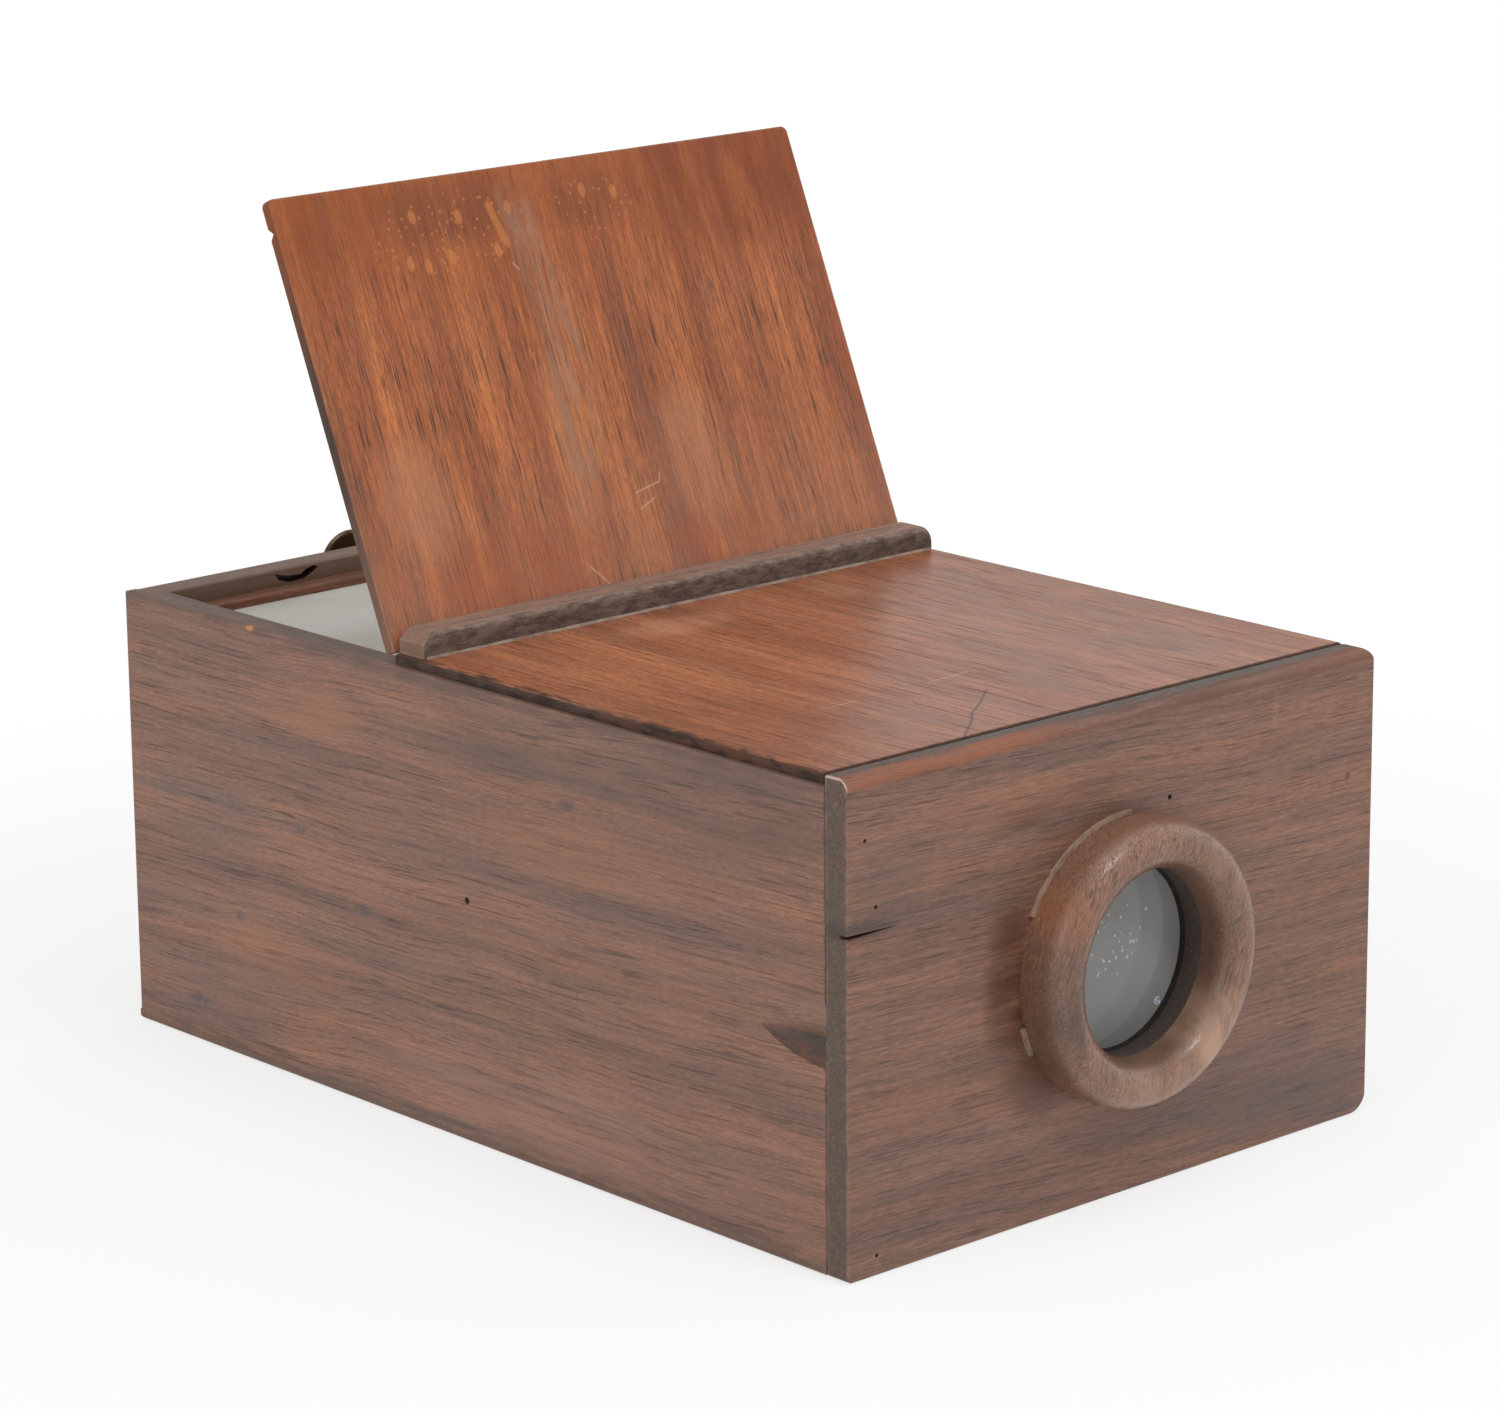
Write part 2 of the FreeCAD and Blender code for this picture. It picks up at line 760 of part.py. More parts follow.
def lens_ring():
    """Half-round turning with a spigot in the panel and what is left of a thin base flange."""
    width = ring_radius - ring_bore_radius
    round_radius = width / 2
    shoulder = ring_height - round_radius
    crest_radius = ring_bore_radius + round_radius
    bulge = round_radius * math.sqrt(0.5)
    outline = [
        ((ring_bore_radius, -ring_spigot), None, (ring_spigot_radius, -ring_spigot)),
        ((ring_spigot_radius, -ring_spigot), None, (ring_spigot_radius, 0)),
        ((ring_spigot_radius, 0), None, (ring_radius, 0)),
        ((ring_radius, 0), None, (ring_radius, shoulder)),
        (
            (ring_radius, shoulder),
            (crest_radius + bulge, shoulder + bulge),
            (crest_radius, ring_height),
        ),
        (
            (crest_radius, ring_height),
            (crest_radius - bulge, shoulder + bulge),
            (ring_bore_radius, shoulder),
        ),
        ((ring_bore_radius, shoulder), None, (ring_bore_radius, -ring_spigot)),
    ]
    shape = turned(outline)
    for start, end in (flange_long_arc, flange_short_arc):
        outer = ring_radius + ring_flange_width
        sector = Part.makeCylinder(outer, ring_flange_thick, ORIGIN, Z, end - start)
        sector = sector.cut(rod(ORIGIN, Z, crest_radius, ring_flange_thick))
        sector.rotate(ORIGIN, Z, start)
        shape = shape.fuse(sector)
    return on_lens_axis(shape.removeSplitter())


def lens_cell():
    """Blackened seat behind the ring: a lip in front of the lens, and a flange on the panel's back."""
    lip_back = -ring_spigot - cell_lip
    flange_front = -panel_thick
    flange_back = flange_front - cell_flange
    seat_radius = lens_radius + cell_play
    outline = straight_outline([
        (cell_lip_radius, -ring_spigot),
        (ring_spigot_radius, -ring_spigot),
        (ring_spigot_radius, flange_front),
        (cell_flange_radius, flange_front),
        (cell_flange_radius, flange_back),
        (seat_radius, flange_back),
        (seat_radius, lip_back),
        (cell_lip_radius, lip_back),
    ])
    return on_lens_axis(turned(outline)).cut(lens_cell_screws()).cut(lens())


def lens():
    """Lens with a flat front, whose rim stands against the cell's lip, and a domed back."""
    front = -ring_spigot - cell_lip
    back = front - lens_edge_thick
    half_radius = lens_radius / 2
    half_fall = sag(lens_curve_radius, half_radius)
    back_vertex = back - sag(lens_curve_radius, lens_radius)
    outline = [
        ((0, back_vertex), (half_radius, back_vertex + half_fall), (lens_radius, back)),
        ((lens_radius, back), None, (lens_radius, front)),
        ((lens_radius, front), None, (0, front)),
        ((0, front), None, (0, back_vertex)),
    ]
    return on_lens_axis(turned(outline))


def lens_retaining_ring():
    front = -ring_spigot - cell_lip - lens_edge_thick
    back = -panel_thick - cell_flange
    outline = straight_outline([
        (retainer_bore_radius, back),
        (lens_radius + cell_play, back),
        (lens_radius + cell_play, front),
        (retainer_bore_radius, front),
    ])
    return on_lens_axis(turned(outline)).cut(lens())


def lens_cell_screws():
    back = -panel_thick - cell_flange
    screws = []
    for i in range(cell_screw_count):
        turn = math.radians(360 * (i + 0.5) / cell_screw_count)
        x = cell_screw_circle * math.cos(turn)
        y = cell_screw_circle * math.sin(turn)
        head = rod(FreeCAD.Vector(x, y, back - cell_screw_head), Z, cell_screw_head_radius, cell_screw_head)
        shank = rod(FreeCAD.Vector(x, y, back), Z, cell_screw_radius, cell_screw_length + cell_flange)
        screws.append(on_lens_axis(head.fuse(shank).removeSplitter()))
    return Part.makeCompound(screws)


# Brads

def brad(head_point, direction):
    head = rod(head_point, direction, brad_head_radius, brad_head)
    return head.fuse(rod(head_point, direction, brad_radius, brad_length)).removeSplitter()


def bottom_brads():
    """Brads driven up through the bottom board into the side walls."""
    reach = case_length - 2 * bottom_brad_end
    x = half_width - side_thick / 2
    brads = []
    for side in (-1, 1):
        for i in range(bottom_brad_count):
            y = front_y + bottom_brad_end + reach * i / (bottom_brad_count - 1)
            brads.append(brad(FreeCAD.Vector(side * x, y, 0), Z))
    return Part.makeCompound(brads)


def front_panel_brads():
    """Brads through the panel into the inner box's sides."""
    return Part.makeCompound([brad(point + Y * brad_sink, Y) for point in panel_brad_points()])


def panel_brad_punches():
    """Holes left over the heads, which are punched below the panel's face."""
    return Part.makeCompound([rod(point, Y, brad_head_radius, brad_sink) for point in panel_brad_points()])


def panel_brad_points():
    x = drawer_half - panel_brad_inset
    heights = (drawer_low_z + panel_brad_rise, drawer_top_z - panel_brad_drop)
    return [FreeCAD.Vector(side * x, panel_front_y, z) for side in (-1, 1) for z in heights]


left_hinge, right_hinge = hinge_centres()
pieces = {
    "bottom_board": bottom_board(),
    "left_side_wall": left_side_wall().cut(old_wall_hole()),
    "right_side_wall": right_side_wall(),
    "rear_wall": rear_wall(),
    "top_deck": top_deck(),
    "lid_stop_strip": lid_stop_strip(),
    "hinge_rail": hinge_rail(),
    "left_glass_ledge": left_glass_ledge(),
    "right_glass_ledge": right_glass_ledge(),
    "rear_glass_ledge": rear_glass_ledge(),
    "ground_glass": ground_glass(),
    "rear_bead": rear_bead(),
    "left_bead": left_bead(),
    "right_bead": right_bead(),
    "mirror_glass": mirror_glass(),
    "mirror_board": mirror_board(),
    "mirror_toe_strip": mirror_toe_strip(),
    "mirror_head_strip": mirror_head_strip(),
    "left_mirror_batten": left_mirror_batten(),
    "right_mirror_batten": right_mirror_batten(),
    "rear_knob": rear_knob(),
    "knob_rose": knob_rose(),
    "left_hinge_fixed_leaf": fixed_leaf(left_hinge),
    "right_hinge_fixed_leaf": fixed_leaf(right_hinge),
    "left_hinge_pin": hinge_pin(left_hinge),
    "right_hinge_pin": hinge_pin(right_hinge),
    "rail_hinge_screws": rail_hinge_screws(),
    "bottom_brads": bottom_brads(),
    "lid_board": lid_board(),
    "left_hinge_lid_leaf": lid_leaf(left_hinge),
    "right_hinge_lid_leaf": lid_leaf(right_hinge),
    "lid_hinge_screws": lid_hinge_screws(),
    "front_panel": front_panel(),
    "drawer_left_side": drawer_left_side(),
    "drawer_right_side": drawer_right_side(),
    "drawer_top": drawer_top(),
    "drawer_bottom": drawer_bottom(),
    "lens_ring": lens_ring(),
    "lens_cell": lens_cell(),
    "lens": lens(),
    "lens_retaining_ring": lens_retaining_ring(),
    "lens_cell_screws": lens_cell_screws(),
    "front_panel_brads": front_panel_brads(),
}

os.makedirs("parts", exist_ok=True)
for name, shape in pieces.items():
    shape.exportStep("parts/" + name + ".step")
    print(name, len(shape.Solids), "solids", round(shape.Volume, 1), "mm3", shape.isValid())
print("focal length", round(focal_length, 1), "mm")
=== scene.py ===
import math
import random
from dataclasses import dataclass, replace

import bmesh
import bpy
from mathutils import Matrix, Vector, noise


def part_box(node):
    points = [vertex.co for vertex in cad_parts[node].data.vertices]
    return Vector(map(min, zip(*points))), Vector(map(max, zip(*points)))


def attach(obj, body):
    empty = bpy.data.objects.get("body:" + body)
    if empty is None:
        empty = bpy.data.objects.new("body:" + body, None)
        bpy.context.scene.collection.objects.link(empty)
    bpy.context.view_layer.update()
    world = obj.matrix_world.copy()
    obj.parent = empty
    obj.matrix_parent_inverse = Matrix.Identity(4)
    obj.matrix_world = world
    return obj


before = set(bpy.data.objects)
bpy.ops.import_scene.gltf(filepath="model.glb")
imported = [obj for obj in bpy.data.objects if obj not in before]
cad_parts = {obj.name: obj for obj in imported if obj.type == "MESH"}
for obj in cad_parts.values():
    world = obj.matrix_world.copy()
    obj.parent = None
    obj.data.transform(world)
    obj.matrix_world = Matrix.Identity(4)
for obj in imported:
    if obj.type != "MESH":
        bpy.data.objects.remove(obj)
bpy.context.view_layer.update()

# Units: lengths in this script are millimetres, unless a name or comment says metres.
MM = 0.001

# Camera, from a fit to the box's own straight edges: place in millimetres, turns in degrees
camera_place = (-925.2, -1030.55, 462.65)
camera_yaw = 42.231
camera_dip = 14.636
camera_roll = -0.507
camera_lens = 126.76
camera_sensor = 36.0
camera_sight_metres = 100.0

# Light: the world's even level, how far away the lamps stand, and how high the point is that they look at
world_level = 0.57
lamp_reach = 1500.0
lamp_target = 80.0

# The floor: its size, how far it lies under the box, its tone, how much of it is plain white near the
# box and far from it, and the two distances between which that changes
floor_size = 6000.0
floor_gap = 0.2
floor_tone = 0.92
floor_white = (0.72, 1.0)
floor_fade = (220.0, 480.0)

# The lid's hinge and how far it stands open
hinge_y = 25.85
hinge_z = 126.7
lid_open = 67.0

# Foot of the stop strip: a bead of old glue and dust, which stops short of both ends. The corners of its
# section are shares of its width and height.
glue_width = 0.7
glue_height = 0.5
glue_step = 1.6
glue_inset = 1.0
glue_section = ((0.0, 0.0), (-1.0, 0.0), (-0.62, 0.42), (0.0, 1.0))

# The turned ring: its radius, its bore's, and how far forward the black paint in the bore reaches
ring_radius = 37.4
bore_radius = 25.0
bore_paint_y = -152.9

# The step of the scratches on the strip's front
hatch_step = 2.6

# The lens: where the clear glass ends at the shade of the barrel behind it, as the middle and radius of
# a circle, the dust on its front and a painted glint near its rim, shaped as a bruise, as places from its
# middle
barrel_shade = (-8.6, 4.4, 26.8)
dust_count = 36
dust_seed = 12
dust_middle = (-0.5, 0.0)
dust_spread = (5.0, 6.0)
dust_size = (0.18, 0.48)
dust_shape = (1.0, 0.35, 1.25)
glint_place = (16.4, -16.0)
glint_radius = 0.95
glint_tube = 0.18
glint_steps = 32
glint_sides = 8
glint_spot_shape = (1.0, 0.3, 1.0)

# Wax in the right-hand nail holes of the front panel, which lie further apart than the hole gap
wax_radius = 1.1
wax_height = 0.12
wax_shape = (1.0, wax_height / wax_radius, 0.92)
hole_gap = 2.0

# The wood's markings: how long each is along the grain, and how wide across it
band_size = (220.0, 15.0)
glow_size = (110.0, 9.0)
smoke_size = (120.0, 8.0)
flow_size = (50.0, 2.4)
line_size = (40.0, 0.75)
fibre_size = (2.5, 0.4)

x_axis = Vector((1, 0, 0))
y_axis = Vector((0, 1, 0))
z_axis = Vector((0, 0, 1))
slope = math.radians(lid_open)
lid_up = Vector((0, math.cos(slope), math.sin(slope)))
lid_hinge = Vector((0, hinge_y, hinge_z))

# A board's own axes: along its grain, across it, and through it
along_board = (1.0, 0.0, 0.0)
across_board = (0.0, 1.0, 0.0)
through_board = (0.0, 0.0, 1.0)

# The lens's corners and middle, in metres
lens_low, lens_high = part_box("lens")
lens_middle = (lens_low + lens_high) / 2


def srgb(red, green, blue):
    """A colour given by its usual 0 to 255 values, as the linear values that a shader takes."""
    def linear(value):
        share = value / 255
        if share <= 0.04045:
            return share / 12.92
        return ((share + 0.055) / 1.055) ** 2.4
    return (linear(red), linear(green), linear(blue), 1.0)


class Nodes:
    """The nodes of one material, with a short call for each kind that is used here."""

    def __init__(self, name):
        self.material = bpy.data.materials.new(name)
        self.material.use_nodes = True
        self.tree = self.material.node_tree
        self.shader = self.tree.nodes["Principled BSDF"]

    def feed(self, socket, value):
        if isinstance(value, bpy.types.NodeSocket):
            self.tree.links.new(value, socket)
        else:
            socket.default_value = value

    def add(self, kind, inputs, **settings):
        node = self.tree.nodes.new("ShaderNode" + kind)
        for name, value in settings.items():
            setattr(node, name, value)
        for key, value in inputs.items():
            self.feed(node.inputs[key], value)
        return node

    def math(self, operation, *values):
        return self.add("Math", dict(enumerate(values)), operation=operation).outputs[0]

    def vector_math(self, operation, *values):
        return self.add("VectorMath", dict(enumerate(values)), operation=operation).outputs[0]

    def dot(self, vector, axis):
        return self.add("VectorMath", {0: vector, 1: axis}, operation="DOT_PRODUCT").outputs["Value"]

    def length(self, vector):
        return self.add("VectorMath", {0: vector}, operation="LENGTH").outputs["Value"]

    def vector(self, x, y, z):
        return self.add("CombineXYZ", {0: x, 1: y, 2: z}).outputs[0]

    def place(self, origin=(0, 0, 0)):
        """The point on the piece in millimetres from the origin."""
        point = self.add("TexCoord", {}).outputs["Object"]
        return self.vector_math("MULTIPLY_ADD", point, (1 / MM,) * 3, tuple(-Vector(origin)))

    def facing(self, axis):
        """How squarely the surface faces along an axis: 1 is squarely, -1 is squarely away."""
        return self.dot(self.add("TexCoord", {}).outputs["Normal"], tuple(axis))

    def noise(self, vector, cell, seed=0.0, detail=2.0, rough=0.5):
        """Cloudy noise from 0 to 1, whose patches are about a cell long each way."""
        scale = tuple(1 / size for size in cell)
        moved = self.vector_math("MULTIPLY_ADD", vector, scale, (seed, seed * 1.7, seed * 0.6))
        inputs = {"Vector": moved, "Scale": 1.0, "Detail": detail, "Roughness": rough}
        return self.add("TexNoise", inputs).outputs[0]

    def cells(self, vector, cell, seed=0.0):
        """Points scattered over a board: how far the nearest is, and a number of its own from 0 to 1."""
        scale = tuple(1 / size for size in cell)
        moved = self.vector_math("MULTIPLY_ADD", vector, scale, (seed, seed, seed))
        node = self.add("TexVoronoi", {"Vector": moved, "Scale": 1.0}, voronoi_dimensions="2D")
        own = self.add("SeparateColor", {0: node.outputs["Color"]}).outputs[0]
        return node.outputs["Distance"], own

    def span(self, value, low, high, to_low=0.0, to_high=1.0):
        """A smooth change from to_low to to_high while the value goes from low to high, either way."""
        inputs = {0: value, 1: low, 2: high, 3: to_low, 4: to_high}
        return self.add("MapRange", inputs, interpolation_type="SMOOTHSTEP").outputs[0]

    def times(self, first, *others):
        for other in others:
            first = self.math("MULTIPLY", first, other)
        return first

    def blend(self, share, first, second, mode="MIX"):
        node = self.add("Mix", {0: share, 6: first, 7: second}, data_type="RGBA", blend_type=mode)
        return node.outputs[2]

    def bump(self, height, depth):
        """Relief from a 0 to 1 height, where 1 stands depth millimetres proud."""
        return self.add("Bump", {"Height": height, "Distance": depth * MM}).outputs[0]

    def surface(self, **inputs):
        """Feeds the shader's own sockets; an underscore in a name stands for a space."""
        for name, value in inputs.items():
            self.feed(self.shader.inputs[name.replace("_", " ")], value)
        return self.material

    def near_line(self, board, points, width):
        """1 on a broken line through points of the board's face, falling to 0 at its width."""
        masks = []
        for start, end in zip(points, points[1:]):
            first = Vector((*start, 0.0))
            run = Vector((*end, 0.0)) - first
            away = self.vector_math("MULTIPLY_ADD", board, (1, 1, 0), tuple(-first))
            share = self.dot(away, tuple(run / run.length_squared))
            share = self.add("Clamp", {0: share}).outputs[0]
            foot = self.vector_math("MULTIPLY", self.vector(share, share, share), tuple(run))
            gap = self.length(self.vector_math("SUBTRACT", away, foot))
            masks.append(self.span(gap, width, width * 0.3))
        mask = masks[0]
        for other in masks[1:]:
            mask = self.math("MAXIMUM", mask, other)
        return mask

    def near_spot(self, board, centre, reach):
        """1 in the middle of an oval spot on the board's face, falling to 0 at its reach each way."""
        away = self.vector_math("SUBTRACT", board, (*centre, 0.0))
        shares = (1 / reach[0], 1 / reach[1], 0.0)
        return self.span(self.length(self.vector_math("MULTIPLY", away, shares)), 1.0, 0.35)


@dataclass(frozen=True)
class Look:
    """The colours of one kind of wood, how strongly each shows, and its finish."""
    deep: tuple
    warm: tuple
    glow: tuple
    smoke: tuple
    dark: tuple
    worn: tuple
    end: tuple
    glows: float = 0.45
    smokes: float = 0.5
    pores: float = 0.5
    lines: float = 0.1
    fine: float = 0.2
    streaks: float = 0.06
    dust: float = 0.0
    edge_dust: float = 0.1
    wear: float = 0.3
    rough: float = 0.42
    specular: float = 0.5
    sway: float = 8.0
    relief: float = 0.05
    pore: tuple = (16.0, 0.45)


dull_mahogany = Look(
    deep=srgb(122, 85, 69), warm=srgb(140, 98, 78), glow=srgb(158, 106, 75), smoke=srgb(90, 78, 71),
    dark=srgb(58, 46, 40), worn=srgb(150, 116, 96), end=srgb(108, 82, 69),
    smokes=0.4, pores=0.6, lines=0.14, pore=(15.0, 0.4))

panel_mahogany = replace(
    dull_mahogany, deep=srgb(119, 84, 69), warm=srgb(136, 96, 78), end=srgb(78, 64, 55), edge_dust=0.3)

lid_mahogany = Look(
    deep=srgb(148, 80, 45), warm=srgb(174, 102, 60), glow=srgb(198, 122, 68), smoke=srgb(118, 76, 56),
    dark=srgb(64, 36, 26), worn=srgb(96, 58, 42), end=srgb(46, 36, 32),
    glows=0.5, pores=0.85, lines=0.16, streaks=0.12, rough=0.3, specular=0.3, sway=4.0,
    relief=0.04, pore=(13.0, 0.45))

deck_mahogany = Look(
    deep=srgb(145, 88, 61), warm=srgb(165, 106, 77), glow=srgb(186, 120, 81), smoke=srgb(128, 91, 75),
    dark=srgb(84, 54, 42), worn=srgb(70, 54, 46), end=srgb(57, 51, 47),
    glows=0.4, smokes=0.45, pores=0.7, lines=0.16, wear=0.8, rough=0.3, specular=0.11, sway=4.0,
    relief=0.03)

weathered_mahogany = Look(
    deep=srgb(134, 106, 93), warm=srgb(151, 120, 106), glow=srgb(162, 126, 106), smoke=srgb(120, 105, 96),
    dark=srgb(62, 48, 42), worn=srgb(184, 144, 122), end=srgb(70, 58, 52),
    dust=0.06, wear=0.8, rough=0.62, specular=0.25, sway=3.0, relief=0.08)

turned_mahogany = Look(
    deep=srgb(124, 87, 69), warm=srgb(143, 105, 86), glow=srgb(156, 112, 84), smoke=srgb(112, 90, 78),
    dark=srgb(72, 53, 44), worn=srgb(160, 120, 92), end=srgb(120, 84, 64),
    smokes=0.35, pores=0.8, fine=0.3, wear=0.0, rough=0.27, sway=4.0, relief=0.06, pore=(6.0, 0.45))

bead_wood = Look(
    deep=srgb(114, 74, 58), warm=srgb(140, 94, 74), glow=srgb(150, 96, 66), smoke=srgb(98, 76, 66),
    dark=srgb(70, 48, 40), worn=srgb(150, 112, 90), end=srgb(110, 76, 60),
    rough=0.55, specular=0.3)

bare_wood = Look(
    deep=srgb(88, 64, 51), warm=srgb(114, 84, 66), glow=srgb(126, 88, 62), smoke=srgb(96, 80, 70),
    dark=srgb(58, 42, 35), worn=srgb(136, 106, 84), end=srgb(84, 62, 50),
    rough=0.62, specular=0.25)

drawer_deal = Look(
    deep=srgb(148, 112, 78), warm=srgb(176, 138, 98), glow=srgb(190, 148, 100), smoke=srgb(138, 110, 86),
    dark=srgb(110, 78, 52), worn=srgb(186, 152, 114), end=srgb(120, 90, 66),
    pores=0.3, rough=0.6, specular=0.25)

black_stain = Look(
    deep=srgb(32, 29, 28), warm=srgb(46, 41, 38), glow=srgb(58, 48, 42), smoke=srgb(50, 46, 43),
    dark=srgb(20, 18, 17), worn=srgb(84, 68, 56), end=srgb(32, 29, 27),
    rough=0.6, specular=0.25)

dust_colour = srgb(140, 124, 112)


def reach(node, axes, origin):
    """The lowest and highest place of a node along each of three axes, in millimetres."""
    points = [vertex.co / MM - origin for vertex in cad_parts[node].data.vertices]
    spans = []
    for axis in axes:
        places = [point.dot(axis) for point in points]
        spans.append((min(places), max(places)))
    return spans


def edge_gap(n, places, spans):
    """How far a point on a board's face is from that face's nearest edge."""
    gaps = []
    for place, (low, high) in zip(places, spans):
        under = n.math("SUBTRACT", place, low)
        over = n.math("SUBTRACT", high, place)
        gaps.append(n.math("MINIMUM", under, over))
    lesser = n.math("MINIMUM", gaps[0], gaps[1])
    greater = n.math("MAXIMUM", gaps[0], gaps[1])
    return n.math("MAXIMUM", lesser, n.math("MINIMUM", greater, gaps[2]))


def wood(node, look, along, across, seed, origin=Vector((0, 0, 0)), lean=0.0, marks=None):
    """A board of wood: growth bands, warm and smoky patches, and fine dark pores and lines that run
    along its grain, dust, worn edges and darker board edges, then that board's own marks. The grain
    leans across the board by a share of its run."""
    n = Nodes(node + "_wood")
    depth = along.cross(across)
    axes = (along, across, depth)
    point = n.place(origin)
    places = [n.dot(point, tuple(axis)) for axis in axes]
    board = n.vector(*places)
    sway = n.noise(board, (110.0, 60.0, 60.0), seed=seed, detail=2.0)
    side = n.math("MULTIPLY_ADD", sway, look.sway, places[1])
    side = n.math("MULTIPLY_ADD", places[0], lean, side)
    grain = n.vector(places[0], side, places[2])

    def streaks(size, shift, detail):
        """Noise that is drawn out along the grain."""
        return n.noise(grain, (size[0], size[1], size[1]), seed + shift, detail)

    band = streaks(band_size, 1, detail=3.0)
    glow = streaks(glow_size, 4, detail=3.0)
    smoke = streaks(smoke_size, 5, detail=4.0)
    flow = streaks(flow_size, 2, detail=2.0)
    line = streaks(line_size, 9, detail=2.0)
    pore = streaks(look.pore, 7, detail=1.0)
    fibre = streaks(fibre_size, 3, detail=1.0)

    colour = n.blend(n.span(band, 0.32, 0.68), look.deep, look.warm)
    colour = n.blend(n.times(n.span(glow, 0.5, 0.72), look.glows), colour, look.glow)
    colour = n.blend(n.times(n.span(smoke, 0.46, 0.72), look.smokes), colour, look.smoke)
    pored = n.times(n.span(pore, 0.55, 0.65), n.span(flow, 0.36, 0.62, 0.5, 1.0))
    colour = n.blend(n.times(pored, look.pores), colour, look.dark)
    shade = n.times(n.span(flow, 0.3, 0.7, 1 + look.streaks / 2, 1 - look.streaks),
                    n.span(line, 0.3, 0.7, 1 + look.lines, 1 - look.lines),
                    n.span(fibre, 0.25, 0.75, 1 - look.fine, 1 + look.fine))
    shading = n.vector(shade, shade, shade)
    colour = n.blend(1.0, colour, shading, "MULTIPLY")

    facing = n.math("ABSOLUTE", n.facing(depth))
    side_on = n.span(facing, 0.75, 0.25)
    edge_tone = n.blend(1.0, look.end, shading, "MULTIPLY")
    colour = n.blend(n.times(side_on, 0.9), colour, edge_tone)
    speck = n.noise(board, (0.9, 0.9, 0.9), seed=seed + 8, detail=2.0, rough=0.7)
    dusty = n.math("MULTIPLY_ADD", side_on, look.edge_dust, look.dust)
    colour = n.blend(n.times(n.span(speck, 0.5, 0.75), dusty), colour, dust_colour)
    gap = edge_gap(n, places, reach(node, axes, origin))
    ragged = n.noise(board, (9.0, 2.5, 2.5), seed=seed + 6, detail=3.0)
    rubbed = n.times(n.span(gap, 1.2, 0.2), n.span(ragged, 0.4, 0.62), look.wear)
    colour = n.blend(rubbed, colour, look.worn)
    if marks:
        colour = marks(n, board, colour)

    height = n.math("MULTIPLY_ADD", pored, -0.7, n.times(fibre, 0.5))
    rough = n.math("MULTIPLY_ADD", fibre, 0.16, look.rough - 0.08)
    rough = n.math("MULTIPLY_ADD", pored, 0.15, rough)
    rough = n.math("MULTIPLY_ADD", side_on, 0.2, rough)
    n.surface(Base_Color=colour, Roughness=rough, Normal=n.bump(height, look.relief),
              Specular_IOR_Level=look.specular)
    dress(node, n.material)


def tint(n, board, colour, patches):
    """Soft, ragged patches of another tone: each has a middle, a reach each way, a share and a colour."""
    ragged = n.noise(board, (30.0, 7.0, 7.0), seed=27.0, detail=4.0, rough=0.6)
    for middle, size, share, tone in patches:
        patch = n.times(n.near_spot(board, middle, size), n.span(ragged, 0.3, 0.62, 0.25, 1.0))
        colour = n.blend(n.times(patch, share), colour, tone)
    return colour


def dress(node, material):
    """Gives a CAD node one material."""
    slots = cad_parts[node].data.materials
    slots.clear()
    slots.append(material)


